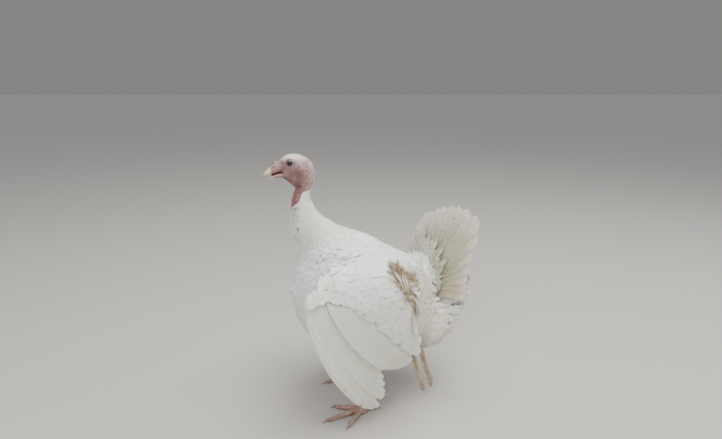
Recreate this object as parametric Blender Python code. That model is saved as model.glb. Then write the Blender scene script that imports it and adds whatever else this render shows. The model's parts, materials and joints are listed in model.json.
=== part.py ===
"""Domestic turkey, broad-breasted white: a still, life-size figure standing
with its wings drooped, tail raised and part fanned, head up and turned a
little to its right.

Metres, +Z up.  The bird faces -Y and its left side is +X.  Soles at Z = 0.
Every body part is one closed solid; neighbours keep a GAP between them.
"""
import math

import bmesh
import bpy
import numpy as np
from mathutils import Matrix, Vector

for _o in list(bpy.data.objects):
    bpy.data.objects.remove(_o, do_unlink=True)

# --------------------------------------------------------------- sizes (m)
GAP = 0.0003                 # air between touching pieces

# trunk stations: y, top z, bottom z, half width
TRUNK = [
    (-0.166, 0.325, 0.280, 0.018),
    (-0.157, 0.356, 0.238, 0.046),
    (-0.135, 0.388, 0.190, 0.082),
    (-0.100, 0.409, 0.160, 0.117),
    (-0.055, 0.417, 0.142, 0.139),
    (0.000, 0.409, 0.135, 0.145),
    (0.045, 0.391, 0.134, 0.138),
    (0.090, 0.366, 0.136, 0.122),
    (0.125, 0.347, 0.141, 0.102),
    (0.152, 0.323, 0.153, 0.078),
    (0.174, 0.283, 0.176, 0.048),
    (0.184, 0.250, 0.198, 0.018),
]
TRUNK_POWER = 2.25           # squareness of its cross-section

# neck centre line stations: y, z, half depth, half width
NECK = [
    (-0.040, 0.345, 0.076, 0.086),
    (-0.076, 0.385, 0.060, 0.066),
    (-0.103, 0.418, 0.047, 0.050),
    (-0.124, 0.447, 0.0365, 0.038),
    (-0.137, 0.477, 0.0275, 0.0285),
    (-0.1415, 0.505, 0.0210, 0.0215),
    (-0.1372, 0.530, 0.0158, 0.0172),
    (-0.1340, 0.552, 0.0160, 0.0165),
]
NECK_SPLIT = 0.60            # share of the neck line that is feathered

# head, in its own frame: origin between the eyes, f forward
HEAD_AT = (-0.006, -0.1665, 0.5875)
HEAD_YAW = math.radians(-13.0)
HEAD_PITCH = math.radians(0.0)
# f, top, bottom, half width, height of the widest level (all in mm)
HEAD = [
    (-51.5, -13, -34, 4.0, -22),
    (-49.5, -4.0, -42, 10.5, -21),
    (-44.0, 4.5, -50, 15.0, -20),
    (-35.0, 11.0, -56, 18.0, -18),
    (-26.0, 15.2, -57, 19.4, -15),
    (-15.0, 17.8, -54, 19.8, -12),
    (-4.0, 17.6, -45.5, 19.0, -8),
    (5.0, 15.0, -37.6, 17.0, -7),
    (10.5, 11.5, -32.8, 15.2, -8),
    (14.0, 9.0, -18.4, 13.6, -8),
    (22.0, 3.8, -19.6, 11.2, -10.5),
    (30.0, -1.6, -22.2, 9.4, -13.5),
    (35.0, -5.4, -23.6, 8.4, -15.5),
]
# horn of the upper bill: f, top, bottom, half width (mm)
BILL_UPPER = [
    (31.0, -3.2, -22.6, 7.8),
    (37.0, -7.8, -24.0, 7.0),
    (43.0, -12.4, -25.4, 5.8),
    (48.0, -16.8, -26.6, 4.3),
    (52.0, -21.6, -27.8, 2.7),
    (54.6, -26.2, -29.0, 1.2),
]
# lower jaw: f, top, bottom, half width (mm)
BILL_LOWER = [
    (8.0, -20.6, -32.2, 11.0),
    (15.0, -21.2, -31.0, 10.2),
    (23.0, -22.6, -30.6, 8.8),
    (31.0, -24.8, -31.4, 7.2),
    (38.0, -28.0, -33.0, 5.6),
    (43.5, -31.6, -34.9, 3.9),
    (48.0, -34.8, -36.4, 1.6),
]
SNOOD = (26.5, 0.6, 3.2, 5.4)          # f, z of its base, radius, length (mm)
EYE_R = 7.4                            # eyeball radius, mm
EYE_OUT = 11.4                         # centre's distance from the midline, mm
EYE_F, EYE_Z = -1.6, 0.7               # and from the head's origin, mm

# wings: each is a sheet whose outer face stands x off the midline (y, x).
# The left one droops beside the body with its wrist forward; the right one
# is carried higher and closer.  All outlines below are (y, z), front to back;
# the roots are shares of the covert shell's lower edge, low.
WINGS = {
    "left": {
        "span": [(-0.205, 0.136), (-0.175, 0.150), (-0.135, 0.162),
                 (-0.085, 0.169), (-0.030, 0.171), (0.030, 0.163),
                 (0.075, 0.148), (0.120, 0.126)],
        "low": [(-0.188, 0.322), (-0.156, 0.334), (-0.110, 0.322),
                (-0.050, 0.270), (0.012, 0.206), (0.070, 0.152)],
        "top": [(-0.166, 0.358), (-0.140, 0.382), (-0.095, 0.402),
                (-0.030, 0.403), (0.022, 0.384), (0.060, 0.338)],
        "primary_root": (0.00, 0.28),
        "primary_mid": [(-0.168, 0.170), (-0.124, 0.163), (-0.115, 0.178),
                        (-0.111, 0.196), (-0.1085, 0.2125)],
        "primary_tip": [(-0.036, 0.056), (-0.012, 0.030), (-0.008, 0.040),
                        (-0.0015, 0.068), (-0.0025, 0.080), (-0.0055, 0.098),
                        (-0.010, 0.116), (-0.016, 0.136), (-0.0205, 0.152)],
        "secondary_root": (0.235, 0.66),
        "secondary_mid": [(-0.1050, 0.2165), (-0.064, 0.212),
                          (-0.026, 0.200), (0.014, 0.183)],
        "secondary_tip": [(-0.020, 0.153), (-0.006, 0.148),
                          (0.010, 0.144), (0.028, 0.140),
                          (0.047, 0.140), (0.066, 0.147)],
    },
    "right": {
        "span": [(-0.130, 0.116), (-0.100, 0.137), (-0.055, 0.157),
                 (0.000, 0.166), (0.050, 0.162), (0.100, 0.146),
                 (0.150, 0.122)],
        "low": [(-0.112, 0.312), (-0.088, 0.306), (-0.045, 0.284),
                (0.010, 0.250), (0.066, 0.212), (0.118, 0.176)],
        "top": [(-0.100, 0.366), (-0.078, 0.388), (-0.040, 0.401),
                (0.006, 0.394), (0.054, 0.370), (0.092, 0.326)],
        "primary_root": (0.00, 0.29),
        "primary_mid": [(-0.088, 0.172), (-0.064, 0.189), (-0.030, 0.218)],
        "primary_tip": [(0.034, 0.092), (0.044, 0.094), (0.062, 0.106),
                        (0.068, 0.122), (0.054, 0.136), (0.036, 0.148),
                        (0.020, 0.160), (0.006, 0.172)],
        "secondary_root": (0.245, 0.86),
        "secondary_mid": [(-0.044, 0.220), (0.010, 0.206),
                          (0.056, 0.196), (0.098, 0.186)],
        "secondary_tip": [(0.016, 0.168), (0.040, 0.160),
                          (0.062, 0.155), (0.084, 0.152),
                          (0.104, 0.156), (0.124, 0.164)],
    },
}
WING_MID = 0.285             # widest height of the wing sheet
WING_DROP = 0.42             # how little it turns in below that height
COVERT_TIP_BULGE = 0.018     # rear edge bows out by this much

# tail
TAIL_BASE = (0.0, 0.166, 0.246)
TAIL_LEAN = math.radians(10.0)
TAIL_FEATHERS = 18
TAIL_FROM, TAIL_TO = -42.0, 77.0     # fan, degrees from upright to its left
# feather length from the base along the fan (degrees, m): worn on the right
TAIL_LENGTH = [(-42, 0.126), (-30, 0.158), (-18, 0.187), (-9, 0.202),
               (0, 0.215), (11, 0.230), (22, 0.251), (31, 0.268), (36, 0.266),
               (43, 0.232), (51, 0.204), (62, 0.186), (77, 0.176)]
TAIL_ROOT_R = 0.030
TAIL_SWEEP = 0.010                   # tips bend back by this much

# legs: hip, hock and foot centre of each side; the left foot is ahead
LEGS = {
    "left": ((0.070, 0.006, 0.200), (0.074, 0.038, 0.130), (0.072, -0.032, 0.0)),
    "right": ((-0.070, 0.022, 0.200), (-0.074, 0.072, 0.130), (-0.072, 0.026, 0.0)),
}
SHANK_R = 0.0072
# toe: angle away from the midline, reach from the foot's centre
TOES = {"inner": (-36, 0.062), "middle": (2, 0.086),
        "outer": (40, 0.066), "hind": (172, 0.036)}

COLOURS = {
    "plumage": ((0.86, 0.85, 0.81), 0.75),
    "quill": ((0.80, 0.77, 0.68), 0.65),
    "skin": ((0.66, 0.42, 0.42), 0.55),
    "horn": ((0.72, 0.64, 0.52), 0.40),
    "eye": ((0.03, 0.018, 0.012), 0.08),
    "scale": ((0.62, 0.46, 0.40), 0.50),
    "claw": ((0.42, 0.34, 0.27), 0.40),
}
MM = 0.001


# ------------------------------------------------------------ small tools
def curve(table, t):
    """Smooth monotone cubic through rows of (key, values...)."""
    a = np.asarray(table, float)
    k, v = a[:, 0], a[:, 1:]
    t = np.clip(np.atleast_1d(np.asarray(t, float)), k[0], k[-1])
    h = np.diff(k)
    d = np.diff(v, axis=0) / h[:, None]
    m = np.zeros_like(v)
    m[0], m[-1] = d[0], d[-1]
    for i in range(1, len(k) - 1):
        same = d[i - 1] * d[i] > 0
        w1, w2 = 2 * h[i] + h[i - 1], h[i] + 2 * h[i - 1]
        safe0 = np.where(same, d[i - 1], 1.0)
        safe1 = np.where(same, d[i], 1.0)
        m[i] = np.where(same, (w1 + w2) / (w1 / safe0 + w2 / safe1), 0.0)
    i = np.clip(np.searchsorted(k, t, side="right") - 1, 0, len(k) - 2)
    s = ((t - k[i]) / h[i])[:, None]
    hi = h[i][:, None]
    return ((2 * s**3 - 3 * s**2 + 1) * v[i] + (s**3 - 2 * s**2 + s) * hi * m[i]
            + (-2 * s**3 + 3 * s**2) * v[i + 1] + (s**3 - s**2) * hi * m[i + 1])


def along(points, t):
    """Point on a smooth line through points, t from 0 to 1."""
    n = len(points)
    table = [(i / (n - 1), *p) for i, p in enumerate(points)]
    return curve(table, t)


def add(name, verts, faces, kind, smooth=38.0):
    me = bpy.data.meshes.new(name)
    me.from_pydata([tuple(map(float, v)) for v in verts], [], faces)
    bm = bmesh.new()
    bm.from_mesh(me)
    bmesh.ops.remove_doubles(bm, verts=bm.verts, dist=1e-6)
    bmesh.ops.triangulate(bm, faces=bm.faces)
    bmesh.ops.recalc_face_normals(bm, faces=bm.faces)
    bm.to_mesh(me)
    bm.free()
    ob = bpy.data.objects.new(name, me)
    bpy.context.scene.collection.objects.link(ob)
    paint(ob, kind)
    me.shade_smooth()
    me.set_sharp_from_angle(angle=math.radians(smooth))
    return ob


def paint(ob, kind):
    rgb, rough = COLOURS[kind]
    mat = bpy.data.materials.new("m_" + ob.name)
    mat.use_nodes = True
    b = mat.node_tree.nodes["Principled BSDF"]
    b.inputs["Base Color"].default_value = (*rgb, 1.0)
    b.inputs["Roughness"].default_value = rough
    b.inputs["Metallic"].default_value = 0.0
    ob.data.materials.clear()
    ob.data.materials.append(mat)


def loft(rings):
    """Closed skin over rings of equal length, ends closed by a fan."""
    n = len(rings[0])
    verts = [p for r in rings for p in r]
    faces = []
    for i in range(len(rings) - 1):
        for j in range(n):
            a, b = i * n + j, i * n + (j + 1) % n
            faces.append((a, b, b + n, a + n))
    for end in (0, len(rings) - 1):
        c = len(verts)
        verts.append(np.mean(np.asarray(rings[end]), axis=0))
        for j in range(n):
            faces.append((end * n + j, end * n + (j + 1) % n, c))
    return verts, faces


def oval(n, power=2.0, phase=0.0):
    """Unit superellipse, (cos-like, sin-like) pairs."""
    out = []
    for j in range(n):
        a = 2 * math.pi * (j + phase) / n
        c, s = math.cos(a), math.sin(a)
        out.append((math.copysign(abs(c) ** (2 / power), c),
                    math.copysign(abs(s) ** (2 / power), s)))
    return out


def carve(ob, *others, grow=GAP):
    """Cut the others, each grown by the gap, out of ob."""
    for other in others:
        me = other.data.copy()
        bm = bmesh.new()
        bm.from_mesh(me)
        bm.normal_update()
        for v in bm.verts:
            faces = [f.normal for f in v.link_faces]
            nrm = sum(faces, Vector()).normalized()
            low = min(max(nrm.dot(f), 0.35) for f in faces)
            v.co += nrm * (grow / low)
        bm.to_mesh(me)
        bm.free()
        cut = bpy.data.objects.new("cutter", me)
        cut.hide_render = True
        cut.display_type = "WIRE"
        bpy.context.scene.collection.objects.link(cut)
        mod = ob.modifiers.new("cut", "BOOLEAN")
        mod.operation = "DIFFERENCE"
        mod.solver = "EXACT"
        mod.object = cut
        bpy.context.view_layer.update()
        dg = bpy.context.evaluated_depsgraph_get()
        done = bpy.data.meshes.new_from_object(ob.evaluated_get(dg))
        ob.modifiers.remove(mod)
        ob.data = done
        bpy.data.objects.remove(cut, do_unlink=True)
    tidy(ob)


def tidy(ob, keep_largest=True):
    bm = bmesh.new()
    bm.from_mesh(ob.data)
    bmesh.ops.remove_doubles(bm, verts=bm.verts, dist=2e-6)
    bmesh.ops.dissolve_degenerate(bm, dist=2e-6, edges=bm.edges)
    if keep_largest:
        seen, groups = set(), []
        for v in bm.verts:
            if v.index in seen:
                continue
            stack, grp = [v], []
            seen.add(v.index)
            while stack:
                a = stack.pop()
                grp.append(a)
                for e in a.link_edges:
                    b = e.other_vert(a)
                    if b.index not in seen:
                        seen.add(b.index)
                        stack.append(b)
            groups.append(grp)
        groups.sort(key=len, reverse=True)
        for grp in groups[1:]:
            bmesh.ops.delete(bm, geom=grp, context="VERTS")
    bmesh.ops.triangulate(bm, faces=bm.faces)
    bmesh.ops.recalc_face_normals(bm, faces=bm.faces)
    bm.to_mesh(ob.data)
    bm.free()
    ob.data.shade_smooth()
    ob.data.set_sharp_from_angle(angle=math.radians(38.0))


def mirrored(ob, name, kind):
    """The same piece on the other side of the bird."""
    me = ob.data.copy()
    me.transform(Matrix.Scale(-1, 4, (1, 0, 0)))
    me.flip_normals()
    me.materials.clear()
    new = bpy.data.objects.new(name, me)
    bpy.context.scene.collection.objects.link(new)
    paint(new, kind)
    return new


def head_matrix():
    return (Matrix.Translation(HEAD_AT) @ Matrix.Rotation(HEAD_YAW, 4, "Z")
            @ Matrix.Rotation(HEAD_PITCH, 4, "X"))


def from_head(f, x, z):
    """Head frame in mm (forward, left, up) to metres in the bird's frame."""
    return head_matrix() @ Vector((x * MM, -f * MM, z * MM))


# ------------------------------------------------------------------ trunk
def trunk_at(y):
    top, bot, w = curve(TRUNK, y)[0]
    return top, bot, w


def trunk_x(y, z):
    top, bot, w = trunk_at(y)
    zc = bot + 0.50 * (top - bot)
    half = 0.5 * (top - bot)
    k = min(abs(z - zc) / half, 1.0)
    return w * (1 - k ** TRUNK_POWER) ** (1 / TRUNK_POWER)


def make_trunk():
    n = 24
    unit = oval(n, TRUNK_POWER)
    ys = [-0.166, -0.161, -0.151, -0.136, -0.114, -0.086, -0.052, -0.014,
          0.026, 0.064, 0.098, 0.127, 0.151, 0.169, 0.180, 0.184]
    rings = []
    for y in ys:
        top, bot, w = trunk_at(y)
        zc, h = 0.5 * (top + bot), 0.5 * (top - bot)
        rings.append([(w * c, y, zc + h * s) for c, s in unit])
    return add("trunk", *loft(rings), "plumage")


# ------------------------------------------------------------------- neck
def neck_ring(t, n=22):
    p = along([(s[0], s[1]) for s in NECK], t)[0]
    q = along([(s[0], s[1]) for s in NECK], min(t + 0.02, 1.0))[0]
    r = along([(s[0], s[1]) for s in NECK], max(t - 0.02, 0.0))[0]
    d = np.array(q) - np.array(r)
    d /= np.linalg.norm(d)
    back = np.array([d[1], -d[0]])           # in the y-z plane, pointing back
    depth, width = along([(s[2], s[3]) for s in NECK], t)[0]
    return [(width * s, p[0] + back[0] * depth * c, p[1] + back[1] * depth * c)
            for c, s in oval(n, 2.0)]


def make_neck():
    low = [neck_ring(t, 18) for t in np.linspace(0.0, NECK_SPLIT, 8)]
    step = GAP / 0.26                        # gap as a share of the line
    top = [neck_ring(t, 14) for t in np.linspace(NECK_SPLIT + step, 1.0, 6)]
    return (add("neck", *loft(low), "plumage"),
            add("neck_upper", *loft(top), "skin"))


# ------------------------------------------------------------------- head
def head_rings(table, n, fs, power=2.0):
    rings = []
    for f in fs:
        row = curve(table, f)[0]
        top, bot, w = row[:3]
        zc = row[3] if len(row) > 3 else 0.5 * (top + bot)
        ring = []
        for c, s in oval(n, power):
            h = (top - zc) if s >= 0 else (zc - bot)
            ring.append(from_head(f, w * c, zc + h * s))
        rings.append(ring)
    return rings


def make_head():
    fs = [-51.5, -50, -46, -39, -30, -20, -9, 1, 7.5, 10.5, 14, 22, 29, 35]
    head = add("head", *loft(head_rings(HEAD, 16, fs)), "skin")
    up = add("bill_upper", *loft(head_rings(
        BILL_UPPER, 10, [31, 36, 41, 46, 50, 53, 54.6], 2.0)), "horn")
    lo = add("bill_lower", *loft(head_rings(
        BILL_LOWER, 10, [8, 15, 23, 31, 38, 44, 48], 2.2)), "horn")
    f0, z0, r, length = SNOOD
    rings = []
    for k in range(4):
        t = k / 3
        rad = r * math.sqrt(max(1 - (t * 0.96) ** 2.4, 0.0)) * (1 - 0.25 * t)
        cf, cz = f0 + 3.5 * t, z0 - 2.0 + length * t
        rings.append([from_head(cf + rad * c, rad * 0.8 * s, cz)
                      for c, s in oval(8)])
    snood = add("snood", *loft(rings), "skin")
    eyes = []
    for side, sx in (("left", 1), ("right", -1)):
        me = bpy.data.meshes.new("eye")
        bm = bmesh.new()
        bmesh.ops.create_uvsphere(bm, u_segments=10, v_segments=7,
                                  radius=EYE_R * MM)
        turn = Matrix.Rotation(math.radians(90), 4, "Y")
        bm.transform(turn)
        bm.transform(Matrix.Translation(from_head(EYE_F, sx * EYE_OUT, EYE_Z)))
        bm.to_mesh(me)
        bm.free()
        me.name = "eye_" + side
        ob = bpy.data.objects.new("eye_" + side, me)
        bpy.context.scene.collection.objects.link(ob)
        paint(ob, "eye")
        me.shade_smooth()
        eyes.append(ob)
    carve(head, *eyes)
    carve(up, head)
    carve(lo, head)
    carve(snood, head)
    return head, up, lo, snood, eyes


# ------------------------------------------------------------------ wings
def wing_x(w, y, z):
    """Distance of a wing's outer face from the midline at (y, z)."""
    half = curve(w["span"], y)[0][0]
    top = trunk_at(min(max(y, -0.14), 0.14))[0] + 0.012
    if z >= WING_MID:
        k = min((z - WING_MID) / (top - WING_MID), 1.0)
    else:
        k = (WING_MID - z) * WING_DROP / (WING_MID - 0.135)
    return half * (1 - k ** TRUNK_POWER) ** (1 / TRUNK_POWER)


def covert_point(w, p, q):
    a = along(w["low"], p)[0]
    b = along(w["top"], p)[0]
    y = a[0] + (b[0] - a[0]) * q
    z = a[1] + (b[1] - a[1]) * q
    rear = max(0.0, (p - 0.75) / 0.25)
    y += COVERT_TIP_BULGE * rear * math.sin(math.pi * q)
    return y, z


def slab(name, out, inn, nu, nv, kind, smooth=38.0):
    """Closed plate between two grids of nu by nv points."""
    verts = out + inn
    n = nu * nv
    faces = []
    for i in range(nu - 1):
        for j in range(nv - 1):
            a = i * nv + j
            quad = (a, a + nv, a + nv + 1, a + 1)
            faces.append(quad)
            faces.append(tuple(n + v for v in reversed(quad)))
    rim = ([i * nv for i in range(nu)]
           + [(nu - 1) * nv + j for j in range(1, nv)]
           + [i * nv + nv - 1 for i in range(nu - 2, -1, -1)]
           + [j for j in range(nv - 2, 0, -1)])
    for a, b in zip(rim, rim[1:] + rim[:1]):
        faces.append((a, b, n + b, n + a))
    return add(name, verts, faces, kind, smooth)


def make_covert_shell(side):
    w, sx = WINGS[side], (1 if side == "left" else -1)
    nu, nv = 14, 7
    out, inn = [], []
    for i in range(nu):
        p = i / (nu - 1)
        for j in range(nv):
            q = j / (nv - 1)
            y, z = covert_point(w, p, q)
            edge = min(1.0, 5.0 * q + 0.12) if q < 0.5 else 1.0
            top = min(1.0, 3.0 * (1 - q) + 0.10)
            ends = min(1.0, 6.0 * p + 0.30, 4.0 * (1 - p) + 0.12)
            body = min(edge, top, ends)
            x = wing_x(w, y, z)
            base = max(trunk_x(y, z), 0.66 * x)
            if top < 1.0:                      # lies down on the back
                x = base + (x - base) * (0.15 + 0.85 * top)
            th = 0.003 + 0.030 * body
            out.append((sx * x, y, z))
            inn.append((sx * (x - th), y, z))
    return slab("wing_" + side, out, inn, nu, nv, "plumage")


def bez(a, m, b, t):
    a, m, b = np.asarray(a), np.asarray(m), np.asarray(b)
    return (1 - t) ** 2 * a + 2 * t * (1 - t) * m + t * t * b


def fan(name, kind, count, root, mid, tip, place, thick, step, notch,
        across=3, rows=6, tip_round=2.4):
    """A closed fan of overlapping feathers.

    root, mid, tip give the 2-D path of the feather at share u; place turns
    (2-D point, depth) into the bird's frame, depth counted inwards.
    """
    cols = []
    for i in range(count):
        for c in range(across + 1):
            if i and c == 0:
                continue
            w = c / across
            cols.append(((i + w) / count, abs(2 * w - 1), w))
    out, inn = [], []
    for u, off, w in cols:
        r, m, t = root(u), mid(u), tip(u)
        cut = 1.0 - notch * off ** tip_round
        for k in range(rows + 1):
            p = bez(r, m, t, k / rows * cut)
            lay = step * (w - 0.5) * min(1.0, 2.5 * k / rows)
            th = thick[0] + (thick[1] - thick[0]) * k / rows
            out.append(place(p, lay, u, k / rows))
            inn.append(place(p, lay + th, u, k / rows))
    return slab(name, out, inn, len(cols), rows + 1, kind, smooth=25.0)


def make_flight_feathers(side):
    w, sx = WINGS[side], (1 if side == "left" else -1)

    def line(key):
        return lambda u: along(w[key], u)[0]

    def under_edge(key, drop):
        a, b = w[key]
        return lambda u: along(w["low"], a + (b - a) * u)[0] - (0, drop)

    def hand(p, depth, u, v):
        return (sx * (wing_x(w, *p) - 0.0075 - depth - 0.004 * u), p[0], p[1])

    def arm(p, depth, u, v):
        return (sx * (wing_x(w, *p) - 0.0035 - depth * 0.8), p[0], p[1])

    prim = fan("primaries_" + side, "quill", 9, under_edge("primary_root", 0.0035),
               line("primary_mid"), line("primary_tip"), hand,
               (0.0036, 0.0012), 0.0022, 0.055, across=2, rows=4)
    sec = fan("secondaries_" + side, "quill", 11,
              under_edge("secondary_root", 0.0030),
              line("secondary_mid"), line("secondary_tip"), arm,
              (0.0030, 0.0012), 0.0016, 0.07, across=2, rows=4)
    return prim, sec


# ------------------------------------------------------------------- tail
def tail_length(a):
    return curve(TAIL_LENGTH, math.degrees(a))[0][0]


def tail_point(r, a, back):
    """Polar point of the fan, back metres behind its middle plane."""
    up, c, s = r * math.cos(a), math.cos(TAIL_LEAN), math.sin(TAIL_LEAN)
    back += TAIL_SWEEP * (r / 0.288) ** 2
    return (TAIL_BASE[0] + r * math.sin(a),
            TAIL_BASE[1] + up * s + back * c,
            TAIL_BASE[2] + up * c - back * s)


def make_tail():
    def angle(u):
        return math.radians(TAIL_FROM + (TAIL_TO - TAIL_FROM) * u)

    def polar(u, r):
        return np.array([r * math.sin(angle(u)), r * math.cos(angle(u))])

    def place(p, depth, u, v):
        return tail_point(math.hypot(*p), math.atan2(p[0], p[1]), depth)
    return fan("tail_rectrices", "quill", TAIL_FEATHERS,
               lambda u: polar(u, TAIL_ROOT_R),
               lambda u: polar(u, 0.5 * (TAIL_ROOT_R + tail_length(angle(u)))),
               lambda u: polar(u, tail_length(angle(u))),
               place, (0.0060, 0.0012), 0.0020, 0.040, across=3, rows=3)


def make_upper_coverts():
    """Rump coverts over the front face of the fan."""
    nu, nv = 13, 6
    out, inn = [], []
    a0, a1 = math.radians(-76.0), math.radians(80.0)
    for i in range(nu):
        a = a0 + (a1 - a0) * i / (nu - 1)
        side = 1 - abs(2 * i / (nu - 1) - 1) ** 2.2
        for j in range(nv):
            v = j / (nv - 1)
            r = 0.020 + (0.086 + 0.040 * side) * v
            th = (0.006 + 0.042 * side) * (1 - v) ** 0.9 + 0.0035
            inn.append(tail_point(r, a, -0.0022))
            out.append(tail_point(r, a, -0.0022 - th))
    return slab("tail_coverts_upper", out, inn, nu, nv, "plumage")


# fluff behind the fan and under the tail: z, half width, front y, rear y
UNDER = [(0.116, 0.026, 0.122, 0.142), (0.130, 0.062, 0.108, 0.168),
         (0.155, 0.090, 0.108, 0.192), (0.185, 0.100, 0.118, 0.212),
         (0.220, 0.102, 0.138, 0.226), (0.260, 0.100, 0.177, 0.236),
         (0.300, 0.092, 0.184, 0.238), (0.335, 0.074, 0.191, 0.234),
         (0.362, 0.046, 0.200, 0.226)]
UNDER_X = 0.016              # it leans to the left with the fan


def make_under_coverts():
    rings = []
    for z in np.linspace(UNDER[0][0], UNDER[-1][0], 10):
        w, front, rear = curve(UNDER, z)[0]
        mid, half = 0.5 * (front + rear), 0.5 * (rear - front)
        rings.append([(UNDER_X + w * c, mid + half * s, z)
                      for c, s in oval(14, 2.3)])
    return add("tail_coverts_under", *loft(rings), "plumage")


# ------------------------------------------------------------------- legs
def tube(path, radii, n, squash=None):
    """Loft along a path; radii are (side, fore-aft) pairs."""
    rings = []
    pts = [Vector(p) for p in path]
    for i, p in enumerate(pts):
        d = (pts[min(i + 1, len(pts) - 1)] - pts[max(i - 1, 0)]).normalized()
        side = Vector((1, 0, 0))
        side = (side - d * side.dot(d)).normalized()
        fore = d.cross(side)
        rs, rf = radii[i]
        ring = []
        for c, s in oval(n):
            q = p + side * rs * c + fore * rf * s
            ring.append((q.x, q.y, q.z))
        rings.append(ring)
    return rings


def make_leg(side_name):
    sx = 1 if side_name == "left" else -1
    hip, hock, foot = (Vector(p) for p in LEGS[side_name])
    # feathered thigh: wide at the body, closing above the hock
    path, rad = [], []
    for t in np.linspace(0, 1, 7):
        path.append(hip.lerp(hock + Vector((0, -0.004, -0.004)), float(t)))
        r = 0.054 * (1 - t) ** 0.8 + 0.0135
        rad.append((r * 0.86, r * 1.05))
    thigh = add("thigh_" + side_name, *loft(tube(path, rad, 14)), "plumage")
    # shank: hock joint, slim bone, pad over the toes
    top = hock + Vector((0, 0.000, -0.006))
    low = foot + Vector((0, 0, 0.014))
    path, rad = [], []
    for t, rs, rf in ((0.0, 0.0100, 0.0115), (0.08, 0.0110, 0.0130),
                      (0.20, 0.0088, 0.0100), (0.36, SHANK_R, 0.0082),
                      (0.70, SHANK_R, 0.0080), (0.92, 0.0100, 0.0096)):
        path.append(top.lerp(low, t))
        rad.append((rs, rf))
    rings = tube(path, rad, 10)
    a = np.array(rings[-1])
    turn = 1 if np.cross(a[0] - a.mean(0), a[2] - a.mean(0))[2] > 0 else -1
    start = math.atan2(a[0][1] - a.mean(0)[1], a[0][0] - a.mean(0)[0])
    for z, r in ((0.0085, 0.0140), (0.0, 0.0135)):
        rings.append([(foot.x + r * math.cos(start + turn * 2 * math.pi * j / 10),
                       foot.y + r * math.sin(start + turn * 2 * math.pi * j / 10), z)
                      for j in range(10)])
    shank = add("shank_" + side_name, *loft(rings), "scale")
    toes, claws = [], []
    for toe, (degrees, length) in TOES.items():
        ang = math.radians(degrees) * sx
        ahead = Vector((math.sin(ang), -math.cos(ang), 0))
        side = Vector((ahead.y * -1, ahead.x, 0))
        w0 = 0.0062 if toe != "hind" else 0.0054
        rings = []
        stations = 8 if toe == "middle" else 7 if toe != "hind" else 4
        r0 = 0.0138 + GAP
        for k in range(stations):
            t = k / (stations - 1)
            r = r0 + (length - r0) * t
            pad = 0.10 * (1 if k % 2 == 0 else -1)
            w = w0 * (1 - 0.34 * t) * (1 + pad)
            h = (0.0130 - 0.0050 * t) * (1 + 0.5 * pad)
            if k == 0:
                w, h = w * 0.58, h * 0.62
            if k == stations - 1:
                w, h = w * 0.62, h * 0.72
            ring = []
            for c, s in oval(8, 2.0, 0.5):
                z = 0.0 if s < -0.8 else 0.5 * h + 0.5 * h * s
                q = foot + ahead * r + side * (w * c)
                ring.append((q.x, q.y, z))
            rings.append(ring)
        toes.append(add("toe_%s_%s" % (toe, side_name), *loft(rings), "scale"))
        rings = []
        cl = 0.015 if toe != "hind" else 0.012
        for k in range(4):
            t = k / 3
            r = length + GAP + cl * t
            rad = 0.0031 * (1 - t) ** 0.8 + 0.0004
            zc = 0.0052 * (1 - t * t) + 0.0009
            ring = []
            for c, s in oval(6):
                z = max(zc + rad * s, 0.0003)
                q = foot + ahead * r + side * (rad * 0.8 * c)
                ring.append((q.x, q.y, z))
            rings.append(ring)
        claws.append(add("claw_%s_%s" % (toe, side_name), *loft(rings), "claw"))
    return thigh, shank, toes, claws


# two long worn feathers that hang below the rear flank: top and foot of each
LOOSE = {"flank_feather_front": ((0.098, 0.086, 0.142), (0.096, 0.125, 0.026)),
         "flank_feather_rear": ((0.086, 0.116, 0.142), (0.080, 0.157, 0.020))}


def make_loose():
    out = []
    for name, (a, b) in LOOSE.items():
        a, b = Vector(a), Vector(b)
        rings = []
        for t in np.linspace(0, 1, 5):
            p = a.lerp(b, float(t)) + Vector((0.004 * math.sin(math.pi * t), 0, 0))
            w = 0.0062 * (0.75 + 0.25 * t)
            rings.append([(p.x + 0.0011 * c, p.y + w * s, p.z + 0.2 * w * s)
                          for c, s in oval(6)])
        out.append(add(name, *loft(rings), "quill"))
    return out


# --------------------------------------------------------------- assembly
def main():
    trunk = make_trunk()
    neck, neck_upper = make_neck()
    head, up, lo, snood, eyes = make_head()
    carve(neck, trunk)
    carve(neck_upper, head)
    for side in ("left", "right"):
        wing = make_covert_shell(side)
        prim, sec = make_flight_feathers(side)
        carve(wing, trunk, neck)
        carve(sec, trunk)
        carve(prim, trunk)
    tail = make_tail()
    upper = make_upper_coverts()
    under = make_under_coverts()
    carve(tail, trunk)
    carve(upper, trunk)
    thighs = []
    for side in ("left", "right"):
        thigh, shank, toes, claws = make_leg(side)
        carve(thigh, trunk, shank)
        thighs.append(thigh)
    carve(under, trunk, *thighs)
    for ob in make_loose():
        carve(ob, trunk, under)
    # origin under the middle of the whole figure
    solids = [o for o in bpy.data.objects if o.type == "MESH"]
    pts = np.array([list(v.co) for o in solids for v in o.data.vertices])
    low, high = pts.min(0), pts.max(0)
    shift = Vector((-(low[0] + high[0]) / 2, -(low[1] + high[1]) / 2, -low[2]))
    for o in solids:
        o.location = shift


main()
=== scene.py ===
"""Looks of the domestic turkey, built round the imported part.

Metres, +Z up.  Shapes are worked out in the bird's own frame (heading -Y, its
left +X, soles at Z = 0) and moved by SHIFT into the part's frame.  One skin
replaces the nodes of flesh; feathers are closed vanes over it.
"""
import json
import math

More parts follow.
